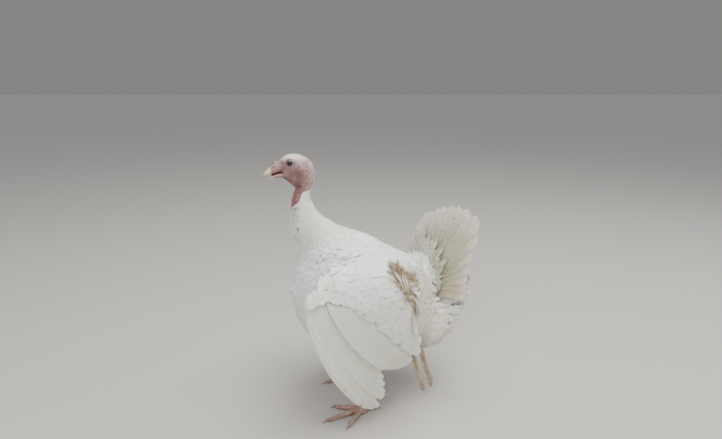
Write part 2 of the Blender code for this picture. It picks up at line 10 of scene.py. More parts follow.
import bpy
import numpy as np
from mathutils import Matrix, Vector

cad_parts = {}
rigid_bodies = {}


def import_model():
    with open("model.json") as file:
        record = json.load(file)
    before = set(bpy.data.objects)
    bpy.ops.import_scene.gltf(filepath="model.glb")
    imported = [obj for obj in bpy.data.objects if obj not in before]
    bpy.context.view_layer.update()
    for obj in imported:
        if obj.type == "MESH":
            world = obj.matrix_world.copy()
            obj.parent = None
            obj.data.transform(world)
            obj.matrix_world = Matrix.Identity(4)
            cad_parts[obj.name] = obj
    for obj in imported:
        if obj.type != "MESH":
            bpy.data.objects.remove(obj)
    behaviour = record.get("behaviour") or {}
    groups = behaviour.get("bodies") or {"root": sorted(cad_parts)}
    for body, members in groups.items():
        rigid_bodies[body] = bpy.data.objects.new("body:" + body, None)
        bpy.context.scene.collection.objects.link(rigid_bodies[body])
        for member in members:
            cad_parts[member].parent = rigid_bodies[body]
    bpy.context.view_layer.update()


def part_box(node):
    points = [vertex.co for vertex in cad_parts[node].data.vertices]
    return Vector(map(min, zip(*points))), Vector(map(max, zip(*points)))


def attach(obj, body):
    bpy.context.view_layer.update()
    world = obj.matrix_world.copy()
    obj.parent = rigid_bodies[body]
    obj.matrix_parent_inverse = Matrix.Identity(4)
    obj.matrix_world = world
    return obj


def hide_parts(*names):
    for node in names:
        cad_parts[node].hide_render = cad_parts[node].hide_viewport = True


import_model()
_lo, _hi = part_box("trunk")
SHIFT = np.array([(_lo.x + _hi.x) / 2, _lo.y + 0.166, 0.0])

# ------------------------------------------------------- the part's own sizes
TRUNK = [
    (-0.166, 0.325, 0.280, 0.018), (-0.157, 0.356, 0.238, 0.046),
    (-0.135, 0.388, 0.190, 0.082), (-0.100, 0.409, 0.160, 0.117),
    (-0.055, 0.417, 0.142, 0.139), (0.000, 0.409, 0.135, 0.145),
    (0.045, 0.391, 0.134, 0.138), (0.090, 0.366, 0.136, 0.122),
    (0.125, 0.347, 0.141, 0.102), (0.152, 0.323, 0.153, 0.078),
    (0.174, 0.283, 0.176, 0.048), (0.184, 0.250, 0.198, 0.018),
]
POWER = 2.25
NECK = [
    (-0.040, 0.345, 0.076, 0.086), (-0.076, 0.385, 0.060, 0.066),
    (-0.103, 0.418, 0.047, 0.050), (-0.124, 0.447, 0.0365, 0.038),
    (-0.137, 0.477, 0.0275, 0.0285), (-0.1415, 0.505, 0.0210, 0.0215),
    (-0.1372, 0.530, 0.0158, 0.0172), (-0.1340, 0.552, 0.0160, 0.0165),
]
HEAD_AT = np.array([-0.006, -0.1665, 0.5875])
YAW = math.radians(-13.0)
HEAD = [
    (-51.5, -13, -34, 4.0, -22), (-49.5, -4.0, -42, 10.5, -21),
    (-44.0, 4.5, -50, 15.0, -20), (-35.0, 11.0, -56, 18.0, -18),
    (-26.0, 15.2, -57, 19.4, -15), (-15.0, 17.8, -54, 19.8, -12),
    (-4.0, 17.6, -45.5, 19.0, -8), (5.0, 15.0, -37.6, 17.0, -7),
    (10.5, 11.5, -32.8, 15.2, -8), (14.0, 9.0, -18.4, 13.6, -8),
    (22.0, 3.8, -19.6, 11.2, -10.5), (30.0, -1.6, -22.2, 9.4, -13.5),
    (35.0, -5.4, -23.6, 8.4, -15.5), (38.5, -8.6, -24.3, 7.0, -17.0),
]
BILL_UPPER = [
    (31.0, -3.2, -22.6, 7.8), (37.0, -7.8, -24.0, 7.0),
    (43.0, -12.4, -25.4, 5.8), (48.0, -16.8, -26.6, 4.3),
    (52.0, -21.6, -27.8, 2.7), (54.6, -26.2, -29.0, 1.2),
]
BILL_LOWER = [
    (8.0, -20.6, -32.2, 11.0), (15.0, -21.2, -31.0, 10.2),
    (23.0, -22.6, -30.6, 8.8), (31.0, -24.8, -31.4, 7.2),
    (38.0, -28.0, -33.0, 5.6), (43.5, -31.6, -34.9, 3.9),
    (48.0, -34.8, -36.4, 1.6),
]
EYE_F, EYE_Z, EYE_OUT, EYE_R = -1.6, 0.7, 11.4, 7.4
WINGS = {
    "left": {
        "span": [(-0.205, 0.136), (-0.175, 0.150), (-0.135, 0.162),
                 (-0.085, 0.169), (-0.030, 0.171), (0.030, 0.163),
                 (0.075, 0.148), (0.120, 0.126)],
        "low": [(-0.188, 0.322), (-0.156, 0.334), (-0.110, 0.322),
                (-0.050, 0.270), (0.012, 0.206), (0.070, 0.152)],
        "top": [(-0.166, 0.358), (-0.140, 0.382), (-0.095, 0.402),
                (-0.030, 0.403), (0.022, 0.384), (0.060, 0.338)],
        "primary_root": (0.00, 0.28),
        "primary_mid": [(-0.168, 0.170), (-0.124, 0.163), (-0.115, 0.178),
                        (-0.111, 0.196), (-0.1085, 0.2125)],
        "primary_tip": [(-0.036, 0.056), (-0.012, 0.030), (-0.008, 0.040),
                        (-0.0015, 0.068), (-0.0025, 0.080), (-0.0055, 0.098),
                        (-0.010, 0.116), (-0.016, 0.136), (-0.0205, 0.152)],
        "secondary_root": (0.235, 0.66),
        "secondary_mid": [(-0.1050, 0.2165), (-0.064, 0.212),
                          (-0.026, 0.200), (0.014, 0.183)],
        "secondary_tip": [(-0.020, 0.153), (-0.006, 0.148),
                          (0.010, 0.144), (0.028, 0.140),
                          (0.047, 0.140), (0.066, 0.147)],
    },
    "right": {
        "span": [(-0.130, 0.116), (-0.100, 0.137), (-0.055, 0.157),
                 (0.000, 0.166), (0.050, 0.162), (0.100, 0.146),
                 (0.150, 0.122)],
        "low": [(-0.112, 0.312), (-0.088, 0.306), (-0.045, 0.284),
                (0.010, 0.250), (0.066, 0.212), (0.118, 0.176)],
        "top": [(-0.100, 0.366), (-0.078, 0.388), (-0.040, 0.401),
                (0.006, 0.394), (0.054, 0.370), (0.092, 0.326)],
        "primary_root": (0.00, 0.29),
        "primary_mid": [(-0.088, 0.172), (-0.064, 0.189), (-0.030, 0.218)],
        "primary_tip": [(0.034, 0.092), (0.044, 0.094), (0.062, 0.106),
                        (0.068, 0.122), (0.054, 0.136), (0.036, 0.148),
                        (0.020, 0.160), (0.006, 0.172)],
        "secondary_root": (0.245, 0.86),
        "secondary_mid": [(-0.044, 0.220), (0.010, 0.206),
                          (0.056, 0.196), (0.098, 0.186)],
        "secondary_tip": [(0.016, 0.168), (0.040, 0.160),
                          (0.062, 0.155), (0.084, 0.152),
                          (0.104, 0.156), (0.124, 0.164)],
    },
}
WING_MID, WING_DROP = 0.285, 0.42
TAIL_BASE = (0.0, 0.166, 0.246)
TAIL_LEAN = math.radians(10.0)
TAIL_FEATHERS = 18
TAIL_FROM, TAIL_TO = -42.0, 77.0
TAIL_LENGTH = [(-42, 0.126), (-30, 0.158), (-18, 0.187), (-9, 0.202),
               (0, 0.215), (11, 0.230), (22, 0.251), (31, 0.268), (36, 0.266),
               (43, 0.232), (51, 0.204), (62, 0.186), (77, 0.176)]
TAIL_ROOT_R, TAIL_SWEEP = 0.030, 0.010
UNDER = [(0.116, 0.026, 0.122, 0.142), (0.130, 0.062, 0.108, 0.168),
         (0.155, 0.090, 0.108, 0.192), (0.185, 0.100, 0.118, 0.212),
         (0.220, 0.102, 0.138, 0.226), (0.260, 0.100, 0.177, 0.236),
         (0.300, 0.092, 0.184, 0.238), (0.335, 0.074, 0.191, 0.234),
         (0.362, 0.046, 0.200, 0.226)]
UNDER_X = 0.016
LEGS = {
    "left": ((0.070, 0.006, 0.200), (0.074, 0.038, 0.130), (0.072, -0.032, 0.0)),
    "right": ((-0.070, 0.022, 0.200), (-0.074, 0.072, 0.130), (-0.072, 0.026, 0.0)),
}
TOES = {"inner": (-36, 0.062), "middle": (2, 0.086),
        "outer": (40, 0.066), "hind": (172, 0.036)}
LOOSE = {"flank_feather_front": ((0.098, 0.086, 0.142), (0.096, 0.125, 0.026)),
         "flank_feather_rear": ((0.086, 0.116, 0.142), (0.080, 0.157, 0.020))}
# lower edge of the bare skin round the neck: degrees from the throat, height
BARE_EDGE = [(0, 0.490), (12, 0.494), (30, 0.499), (44, 0.5036), (56, 0.508),
             (65, 0.515), (70, 0.5255), (88, 0.5290), (120, 0.5300),
             (180, 0.5310)]


# -------------------------------------------------------------- small tools
def curve(table, t):
    """Smooth monotone cubic through rows of (key, values...)."""
    a = np.asarray(table, float)
    k, v = a[:, 0], a[:, 1:]
    t = np.clip(np.atleast_1d(np.asarray(t, float)), k[0], k[-1])
    h = np.diff(k)
    d = np.diff(v, axis=0) / h[:, None]
    m = np.zeros_like(v)
    m[0], m[-1] = d[0], d[-1]
    for i in range(1, len(k) - 1):
        same = d[i - 1] * d[i] > 0
        w1, w2 = 2 * h[i] + h[i - 1], h[i] + 2 * h[i - 1]
        safe0 = np.where(same, d[i - 1], 1.0)
        safe1 = np.where(same, d[i], 1.0)
        m[i] = np.where(same, (w1 + w2) / (w1 / safe0 + w2 / safe1), 0.0)
    i = np.clip(np.searchsorted(k, t, side="right") - 1, 0, len(k) - 2)
    s = ((t - k[i]) / h[i])[:, None]
    hi = h[i][:, None]
    return ((2 * s**3 - 3 * s**2 + 1) * v[i] + (s**3 - 2 * s**2 + s) * hi * m[i]
            + (-2 * s**3 + 3 * s**2) * v[i + 1] + (s**3 - s**2) * hi * m[i + 1])


class Table:
    """A table of stations, read smoothly at any array of keys."""

    def __init__(self, rows, n=600):
        a = np.asarray(rows, float)
        self.k = np.linspace(a[0, 0], a[-1, 0], n)
        self.v = curve(rows, self.k)

    def __call__(self, t):
        return [np.interp(t, self.k, self.v[:, i]) for i in range(self.v.shape[1])]


def line(points):
    n = len(points)
    return Table([(i / (n - 1), *p) for i, p in enumerate(points)])


def smooth(a, b, x):
    t = np.clip((x - a) / (b - a), 0, 1)
    return t * t * (3 - 2 * t)


def smin(a, b, k):
    h = np.maximum(k - np.abs(a - b), 0) / k
    return np.minimum(a, b) - h * h * k * 0.25


def smax(a, b, k):
    return -smin(-a, -b, k)


def unit(v):
    return v / np.maximum(np.linalg.norm(v, axis=-1, keepdims=True), 1e-12)


def noise_of(P, scale, seed=0, octaves=3):
    """Cheap smooth noise, about -1 to 1, from a few turned waves."""
    r = np.random.default_rng(seed)
    out, amp, tot = 0.0, 1.0, 0.0
    for _ in range(octaves):
        for _ in range(3):
            d = unit(r.normal(size=3))
            e = unit(r.normal(size=3))
            ph = r.uniform(0, 6.28, 2)
            out = out + amp * (np.sin((P @ d) * 6.28 / scale + ph[0]
                                      + 1.6 * np.sin((P @ e) * 4.1 / scale + ph[1])))
            tot += amp * 0.62
        scale *= 0.52
        amp *= 0.55
    return out / tot


TR, HD = Table(TRUNK), Table(HEAD)
UN = Table(UNDER)
NL = line(NECK)
TL = Table(TAIL_LENGTH)
BU, BL = Table(BILL_UPPER), Table(BILL_LOWER)
BE = Table(BARE_EDGE)
for _w in WINGS.values():
    _w["X"] = Table(_w["span"])
    _w["L"], _w["T"] = line(_w["low"]), line(_w["top"])
    _w["zl"], _w["zt"] = Table(_w["low"]), Table(_w["top"])


def to_head(x, y, z):
    """Bird's frame (m) to the head's own: forward, left, up in mm."""
    dx, dy = x - HEAD_AT[0], y - HEAD_AT[1]
    c, s = math.cos(YAW), math.sin(YAW)
    return (-(-s * dx + c * dy) * 1e3, (c * dx + s * dy) * 1e3,
            (z - HEAD_AT[2]) * 1e3)


def from_head(f, x, z):
    f, x, z = np.broadcast_arrays(*(np.asarray(v, float) for v in (f, x, z)))
    c, s = math.cos(YAW), math.sin(YAW)
    x, y = x * 1e-3, -f * 1e-3
    return np.stack([HEAD_AT[0] + c * x - s * y, HEAD_AT[1] + s * x + c * y,
                     HEAD_AT[2] + z * 1e-3], -1)


# ------------------------------------------------------------- mesh making
def make(name, co, polys, smooth_shade=True, sharp=None):
    """Mesh object from points (bird's frame) and arrays of equal-sided faces."""
    me = bpy.data.meshes.new(name)
    co = np.asarray(co, np.float64).reshape(-1, 3) + SHIFT
    me.vertices.add(len(co))
    me.vertices.foreach_set("co", co.astype(np.float32).ravel())
    idx = np.concatenate([p.ravel() for p in polys]).astype(np.int32)
    tot = np.concatenate([np.full(len(p), p.shape[1], np.int32) for p in polys])
    start = np.concatenate([[0], np.cumsum(tot)[:-1]]).astype(np.int32)
    me.loops.add(len(idx))
    me.loops.foreach_set("vertex_index", idx)
    me.polygons.add(len(tot))
    me.polygons.foreach_set("loop_start", start)
    me.update(calc_edges=True)
    if smooth_shade:
        me.polygons.foreach_set("use_smooth", np.ones(len(tot), bool))
    if sharp is not None:
        ed = np.empty(len(me.edges) * 2, np.int32)
        me.edges.foreach_get("vertices", ed)
        ed = ed.reshape(-1, 2)
        at = me.attributes.new("sharp_edge", "BOOLEAN", "EDGE")
        at.data.foreach_set("value", sharp[ed[:, 0]] & sharp[ed[:, 1]])
    me.validate()
    me.update()
    ob = bpy.data.objects.new(name, me)
    bpy.context.scene.collection.objects.link(ob)
    return ob


def corner_uv(ob, name, uv):
    me = ob.data
    vi = np.empty(len(me.loops), np.int32)
    me.loops.foreach_get("vertex_index", vi)
    lay = me.uv_layers.new(name=name)
    lay.data.foreach_set("uv", uv[vi].astype(np.float32).ravel())
    return lay


def colour(ob, rgb, name="tone"):
    at = ob.data.color_attributes.new(name, "FLOAT_COLOR", "POINT")
    c = np.concatenate([np.clip(rgb, 0, 1), np.ones((len(rgb), 1))], 1)
    at.data.foreach_set("color", c.astype(np.float32).ravel())


def number(ob, name, v):
    at = ob.data.attributes.new(name, "FLOAT", "POINT")
    at.data.foreach_set("value", np.asarray(v, np.float32))


def lofted(rings, caps=True):
    """Faces over rings (R, N, 3): quads, with fans at the two ends."""
    rings = np.asarray(rings, float)
    R, N = rings.shape[:2]
    co = rings.reshape(-1, 3)
    i, j = np.meshgrid(np.arange(R - 1), np.arange(N), indexing="ij")
    a = (i * N + j).ravel()
    b = (i * N + (j + 1) % N).ravel()
    quads = np.stack([a, b, b + N, a + N], 1)
    tris = np.zeros((0, 3), int)
    if caps:
        co = np.concatenate([co, rings[0].mean(0)[None], rings[-1].mean(0)[None]])
        j = np.arange(N)
        tris = np.concatenate([
            np.stack([(j + 1) % N, j, np.full(N, R * N)], 1),
            np.stack([(R - 1) * N + j, (R - 1) * N + (j + 1) % N,
                      np.full(N, R * N + 1)], 1)])
    return co, quads, tris


def outward(co, quads, tris):
    """Turn a closed shape's faces so that its volume is positive."""
    v = 0.0
    for p in (quads, tris):
        for k in range(1, p.shape[1] - 1):
            a, b, c = co[p[:, 0]], co[p[:, k]], co[p[:, k + 1]]
            v += np.einsum("ij,ij->", a - co[0], np.cross(b - co[0], c - co[0]))
    if v < 0:
        quads, tris = quads[:, ::-1], tris[:, ::-1]
    return quads, tris


# ------------------------------------------------------ the body as a field
def field_distance(f, axes):
    g = np.gradient(f, *axes)
    n = np.sqrt(g[0] ** 2 + g[1] ** 2 + g[2] ** 2)
    return np.clip((f - 1) / np.maximum(n, 1e-6), -0.08, 0.08)


def neck_lookup(ys, zs):
    """For a grid in the y-z plane: distance to the neck's line, its sizes."""
    t = np.linspace(0, 1, 420)
    cy, cz, de, wi = NL(t)
    Y, Z = np.meshgrid(ys, zs, indexing="ij")
    best = np.full(Y.shape, 9.0)
    arg = np.zeros(Y.shape, int)
    for i in range(len(t)):
        d = (Y - cy[i]) ** 2 + (Z - cz[i]) ** 2
        m = d < best
        best[m] = d[m]
        arg[m] = i
    return np.sqrt(best), de[arg], wi[arg], t[arg]


def neck_field(axes):
    xs, ys, zs = axes
    c, de, wi, t = neck_lookup(ys, zs)
    f = np.sqrt((c / de)[None] ** 2 + (xs[:, None, None] / wi[None]) ** 2)
    return field_distance(f, axes), t


def body_field(axes):
    """Signed distance, about, to the outer plumage of the body."""
    xs, ys, zs = axes
    X, Y, Z = xs[:, None, None], ys[None, :, None], zs[None, None, :]
    top, bot, w = TR(ys)
    zc, h = 0.5 * (top + bot), 0.5 * (top - bot)
    over = np.maximum(np.maximum(-0.166 - ys, ys - 0.184), 0) / 0.020
    f = ((np.abs(xs)[:, None] / w[None]) ** POWER)[:, :, None] \
        + ((np.abs(zs[None] - zc[:, None]) / h[:, None]) ** POWER)[None]
    f = f ** (1 / POWER) + over[None, :, None]
    F = field_distance(f, axes)
    neck, _ = neck_field(axes)
    F = smin(F, neck, 0.034)
    w, fr, re = UN(zs)
    mid, half = 0.5 * (fr + re), 0.5 * (re - fr)
    over = np.maximum(np.maximum(0.116 - zs, zs - 0.362), 0) / 0.020
    f = ((np.abs(xs - UNDER_X)[:, None] / w[None]) ** 2.2)[:, None, :] \
        + ((np.abs(ys[:, None] - mid[None]) / half[None]) ** 2.2)[None]
    f = f ** (1 / 2.2) + over[None, None, :]
    F = smin(F, field_distance(f, axes), 0.018)
    for hip, hock, foot in LEGS.values():
        a = np.array(hip)
        b = np.array(hock) + (0, -0.004, -0.004)
        d = b - a
        L = np.linalg.norm(d)
        u = d / L
        s = (X - a[0]) * u[0] + (Y - a[1]) * u[1] + (Z - a[2]) * u[2]
        t = np.clip(s / L, 0, 1)
        r = 0.95 * (0.054 * (1 - t) ** 0.8 + 0.0135)
        q = np.sqrt((X - a[0] - u[0] * t * L) ** 2 + (Y - a[1] - u[1] * t * L) ** 2
                    + (Z - a[2] - u[2] * t * L) ** 2)
        F = smin(F, q - r, 0.014)
    return F


def coat_depth(P):
    """How far the skin lies inside the plumage (m)."""
    x, y, z = P[..., 0], P[..., 1], P[..., 2]
    c = 0.010 + 0.0 * z
    up = smooth(0.39, 0.50, z)
    c = c * (1 - up) + 0.0030 * up
    leg = smooth(0.165, 0.140, z) * smooth(0.11, 0.09, y)
    c = c * (1 - leg) + 0.004 * leg
    rear = smooth(0.165, 0.200, y) * smooth(0.135, 0.165, z)
    return c + 0.014 * rear


class Field:
    """A field on a grid, with its slope, read anywhere by trilinear steps."""

    def __init__(self, axes, F):
        self.axes = axes
        self.lo = np.array([a[0] for a in axes])
        self.step = np.array([a[1] - a[0] for a in axes])
        g = np.gradient(F, *axes)
        self.all = np.stack([F, *g], -1).astype(np.float32)
        self.n = np.array(F.shape)

    def __call__(self, P):
        q = (P - self.lo) / self.step
        q = np.clip(q, 0, self.n - 1.001)
        i = q.astype(int)
        r = (q - i).astype(np.float32)
        out = 0
        for dx in (0, 1):
            for dy in (0, 1):
                for dz in (0, 1):
                    w = ((r[..., 0] if dx else 1 - r[..., 0])
                         * (r[..., 1] if dy else 1 - r[..., 1])
                         * (r[..., 2] if dz else 1 - r[..., 2]))
                    out = out + w[..., None] * self.all[
                        i[..., 0] + dx, i[..., 1] + dy, i[..., 2] + dz]
        return out[..., 0].astype(float), out[..., 1:].astype(float)


def wing_x(w, y, z):
    half = w["X"](y)[0]
    top = TR(np.clip(y, -0.14, 0.14))[0] + 0.012
    k = np.where(z >= WING_MID, np.clip((z - WING_MID) / (top - WING_MID), 0, 1),
                 np.clip((WING_MID - z) * WING_DROP / (WING_MID - 0.135), 0, 0.9))
    return half * (1 - k ** POWER) ** (1 / POWER)


def trunk_x(y, z):
    top, bot, w = TR(y)
    zc, half = 0.5 * (top + bot), 0.5 * (top - bot)
    k = np.clip(np.abs(z - zc) / half, 0, 1)
    return w * (1 - k ** POWER) ** (1 / POWER)


def sheet_x(w, y, z):
    """Outer face of the folded wing, which lies down on the back at its top."""
    X = wing_x(w, y, z)
    base = np.maximum(trunk_x(y, z), 0.66 * X)
    zt, zl = w["zt"](y)[0], w["zl"](y)[0]
    q = (z - zl) / np.maximum(zt - zl, 0.02)
    top = smooth(0.0, 1.0, np.clip(3.0 * (1 - q) + 0.10, 0, 1))
    return base + (X - base) * (0.15 + 0.85 * top)


def surface_nets(D, axes):
    """Closed skin where D changes sign: points and quads, faces outward."""
    inside = D < 0
    nx, ny, nz = D.shape
    c = np.zeros((nx - 1, ny - 1, nz - 1), np.int8)
    for dx in (0, 1):
        for dy in (0, 1):
            for dz in (0, 1):
                c += inside[dx:nx - 1 + dx, dy:ny - 1 + dy, dz:nz - 1 + dz]
    cells = np.argwhere((c > 0) & (c < 8))
    index = np.full(c.shape, -1, np.int64)
    index[tuple(cells.T)] = np.arange(len(cells))
    acc = np.zeros((len(cells), 3))
    cnt = np.zeros(len(cells))
    corners = [(a, b, e) for a in (0, 1) for b in (0, 1) for e in (0, 1)]
    for p in corners:
        for ax in range(3):
            if p[ax]:
                continue
            q = list(p)
            q[ax] = 1
            v0 = D[tuple((cells + p).T)]
            v1 = D[tuple((cells + q).T)]
            m = (v0 < 0) != (v1 < 0)
            t = np.where(m, v0 / np.where(m, v0 - v1, 1), 0)
            pt = np.array(p, float)[None] + np.zeros((len(cells), 1))
            pt[:, ax] += t
            acc[m] += pt[m]
            cnt[m] += 1
    loc = cells + acc / cnt[:, None]
    step = np.array([a[1] - a[0] for a in axes])
    co = np.array([a[0] for a in axes]) + loc * step
    quads = []
    for ax in range(3):
        o = [(0, 0, 0), (0, 0, 0), (0, 0, 0), (0, 0, 0)]
        u, v = (ax + 1) % 3, (ax + 2) % 3
        s0 = [slice(None)] * 3
        s1 = [slice(None)] * 3
        s0[ax], s1[ax] = slice(0, -1), slice(1, None)
        a, b = inside[tuple(s0)], inside[tuple(s1)]
        e = np.argwhere(a != b)
        ok = (e[:, u] > 0) & (e[:, v] > 0) & (e[:, u] < D.shape[u] - 1) \
            & (e[:, v] < D.shape[v] - 1)
        e = e[ok]
        quad = []
        for du, dv in ((0, 0), (-1, 0), (-1, -1), (0, -1)):
            g = e.copy()
            g[:, u] += du
            g[:, v] += dv
            quad.append(index[tuple(g.T)])
        quad = np.stack(quad, 1)
        flip = inside[tuple(e.T)]
        quad[~flip] = quad[~flip][:, ::-1]
        quads.append(quad)
    return co, np.concatenate(quads)[:, ::-1]


# ----------------------------------------------------------------- colours
def srgb(r, g, b):
    c = np.array([r, g, b], float) / 255
    return np.where(c <= 0.04045, c / 12.92, ((c + 0.055) / 1.055) ** 2.4)


WHITE = np.array([0.88, 0.878, 0.862])
CREAM = np.array([0.84, 0.780, 0.630])
STRAW = np.array([0.73, 0.650, 0.470])
OCHRE = np.array([0.58, 0.45, 0.25])
SOIL = np.array([0.20, 0.135, 0.070])
# DUSK: a grey laid on as painted shade low on the body; flight-feather tips and tail mottling
# use it too
DUSK = np.array([0.66, 0.64, 0.585])


def mix(a, b, t):
    t = np.asarray(t)[..., None]
    return a * (1 - t) + b * t


def blob(P, c, r):
    d = (P - np.asarray(c)) / np.asarray(r)
    return np.exp(-np.sum(d * d, -1))


def rump_zone(P):
    """How far a place lies behind the ragged rear edge of back and wings."""
    x, y, z = P[..., 0], P[..., 1], P[..., 2]
    edge = -0.019 + (0.346 - z) * 0.794 \
        + 0.135 * np.clip(1 - (np.abs(x) / 0.15) ** 2, 0, 1) \
        + 0.045 * smooth(0.0, -0.1, x)
    return y - edge


def plume_tone(P):
    """Colour of the plumage by place: bright back, creamy below, greyed low down by painted
    shade.
    """
    x, y, z = P[..., 0], P[..., 1], P[..., 2]
    n = noise_of(P, 0.090, 3)
    m = noise_of(P, 0.028, 4)
    g = rump_zone(P)
    c = mix(WHITE, CREAM, np.clip(0.16 + 0.55 * smooth(0.36, 0.18, z) + 0.14 * n
                                  - 0.25 * smooth(0.30, 0.40, z) * smooth(-0.08, 0.0, y), 0, 1))
    # painted shade: the plumage greyed towards the bottom, with a little mottling
    c = mix(c, DUSK, np.clip(0.30 * smooth(0.28, 0.12, z) + 0.07 * m
                             * smooth(0.36, 0.2, z), 0, 1))
    neck = smooth(0.40, 0.44, z) * smooth(0.0, -0.05, y)
    c = mix(c, CREAM, 0.50 * neck)
    c = mix(c, CREAM, 0.60 * smooth(0.37, 0.25, z) * smooth(0.05, 0.09, np.abs(x))
            * smooth(-0.12, -0.04, y))
    # painted shade: a lilac-grey patch on the shoulder
    c = mix(c, np.array([0.745, 0.745, 0.79]), 0.55 * blob(
        P, (0.115, -0.085, 0.325), (0.05, 0.055, 0.035)))
    # creamy, streaked rump; soiled along its front edge; fluff stays whiter
    rump = smooth(-0.004, 0.010, g) * smooth(0.205, 0.255, z)
    c = mix(c, np.array([0.60, 0.55, 0.43]), np.clip(
        (0.62 + 0.25 * m + 0.15 * n) * rump * smooth(0.16, 0.11, y), 0, 0.85))
    soil = np.exp(-((g - 0.023) / 0.0115) ** 2) * smooth(0.266, 0.292, z) \
        * smooth(0.385, 0.360, z) * smooth(0.04, 0.09, np.abs(x) - 0.03 * (x < 0)) \
        * smooth(0.10, 0.07, y)
    c = mix(c, OCHRE * 0.8, np.clip(0.95 * soil * (0.85 + 0.35 * m), 0, 0.9))
    c = mix(c, SOIL, np.clip(1.6 * soil * (0.80 + 0.6 * n) - 0.20, 0, 0.92))
    vent = blob(P, (0.02, 0.150, 0.150), (0.10, 0.06, 0.045))
    c = mix(c, np.array([0.47, 0.41, 0.33]), np.clip(0.55 * vent * (0.7 + 0.5 * m), 0, 0.6))
    return c


def skin_tone(P):
    """Bare skin of head and neck, by place in the head's frame."""
    f, x, z = to_head(P[..., 0], P[..., 1], P[..., 2])
    ax = np.abs(x)
    Q = np.stack([f, ax, z], -1)

    def at(c, r, up=None):
        d = (Q[..., [0, 2]] - np.asarray(c, float)) / np.asarray(r, float)
        return np.exp(-np.sum(d * d, -1))
    n1, n2, n3 = noise_of(Q, 17.0, 21), noise_of(Q, 6.0, 22), noise_of(Q, 2.6, 23)
    c = mix(srgb(190, 143, 146), srgb(168, 112, 113), np.clip(0.5 + 0.6 * n1, 0, 1))
    c = mix(c, srgb(222, 197, 199), np.clip(0.92 * smooth(1, 15, z)
                                            * smooth(-44, -24, f), 0, 1))
    c = mix(c, srgb(204, 163, 161), 0.6 * smooth(-30, -46, f) * smooth(-22, -4, z))
    c = mix(c, srgb(134, 96, 90), 0.74 * at((-14, -20), (11, 9)))
    c = mix(c, srgb(132, 92, 88), 0.60 * at((-24, -27), (10, 9)))
    c = mix(c, srgb(116, 60, 64), 0.78 * at((-19, -48), (8, 12)))
    c = mix(c, srgb(176, 104, 98), np.clip(0.75 * at((-37, -33), (12, 16))
                                           * (0.8 + 0.6 * n2), 0, 1))
    # pale patches behind the eye: partly pale skin, partly painted highlight
    for p, r, k in (((-24, 2), (5, 6), 0.8), ((-27, -8), (5, 5), 0.7),
                    ((-17, -3), (3, 8), 0.35), ((-35, 6), (6, 5), 0.5)):
        c = mix(c, srgb(228, 205, 200), np.clip(k * at(p, r) * (0.85 + 0.5 * n2), 0, 1))
    c = mix(c, srgb(118, 96, 104), 0.72 * at((12.5, 2.5), (5.0, 4.0)))
    c = mix(c, srgb(132, 106, 110), 0.5 * at((9, -8), (7, 4)))
    rho = np.sqrt((f - EYE_F) ** 2 + ((z - EYE_Z) * 1.08) ** 2)
    side = ax > 9
    c = mix(c, srgb(150, 130, 140), 0.75 * side * smooth(13.0, 8.5, rho))
    # painted highlight: a lighter ring on the eyelid's rim; painted shade: a thin dark ring in
    # the fold round the eye
    c = mix(c, srgb(160, 142, 150), 0.60 * side * np.exp(-((rho - 6.8) / 1.0) ** 2))
    c = mix(c, srgb(116, 96, 104), 0.55 * side * np.exp(-((rho - 9.4) / 0.8) ** 2))
    c = mix(c, srgb(52, 38, 42), 0.9 * side * smooth(6.6, 5.6, rho))
    # face before the eye: nostril flap, lips, cere
    fore = smooth(14, 26, f)
    c = mix(c, srgb(206, 168, 160), 0.65 * fore * smooth(-22, -12, z))
    c = mix(c, srgb(226, 190, 186), 0.5 * at((28, -3), (4, 3)))
    # painted shade inside the nostril slit
    c = mix(c, srgb(66, 34, 34), 0.95 * at((31.0, -7.3), (3.4, 1.1)))
    top, bot, w, zc = HD(np.clip(f, -51.5, 38.5))
    lip = smooth(13.5, 16, f) * np.exp(-((z - bot - 0.9) / 1.6) ** 2)
    c = mix(c, srgb(226, 190, 172), 0.8 * lip)
    jaw = smooth(12, 15, f) * smooth(bot - 1.4, bot - 2.6, z)
    c = mix(c, srgb(200, 160, 152), 0.85 * jaw)
    # painted shade under the lower jaw and chin
    c = mix(c, srgb(120, 92, 82), 0.75 * smooth(24, 8, f) * smooth(-5, 4, f)
            * smooth(-28.5, -32.0, z))
    # inside of the mouth: red, darkened by painted shade
    slit = -19.8 - (f - 14) * 0.27
    inner = smooth(6.6, 5.4, ax) * smooth(11.5, 13.0, f) * (np.abs(z - slit) < 3.2)
    c = mix(c, srgb(64, 20, 20), 0.95 * inner)
    c = mix(c, srgb(200, 140, 142), 0.8 * np.exp(-((f - 28) / 3.6) ** 2)
            * smooth(0.0, 2.0, z) * (ax < 4.5))
    # throat strip and neck
    neck = smooth(-54, -62, z)
    # mottled red and lighter pink: the pink partly the skin's own colour, partly painted
    # highlight
    c = mix(c, mix(srgb(150, 84, 92), srgb(202, 128, 134), np.clip(0.45 + 0.8 * n2, 0, 1)),
            0.85 * neck)
    c = mix(c, srgb(196, 160, 152), 0.6 * smooth(-50, -60, z) * smooth(-26, -38, f))
    c = mix(c, srgb(232, 220, 216), 0.60 * smooth(-36, -50, f) * smooth(-50, -30, z)
            * smooth(0.2, 1.0, 0.6 + n2))
    grey = np.mean(c, -1, keepdims=True)
    c = mix(c, grey * np.array([1.02, 0.99, 1.0]), 0.16)
    c = c * (0.57 + 0.33 * smooth(0, 13, z) * smooth(-50, -30, f))[..., None]
    c = c * (1 + 0.12 * n3)[..., None] * (1 + 0.08 * n2)[..., None]
    return np.clip(c, 0.005, 0.95)


# ---------------------------------------------------------------- the skin
STEP = 0.0042
BAX = [np.arange(-0.172, 0.176, STEP), np.arange(-0.2318, 0.262, STEP),
       np.arange(0.095, 0.548, STEP)]
F_BODY = body_field(BAX)
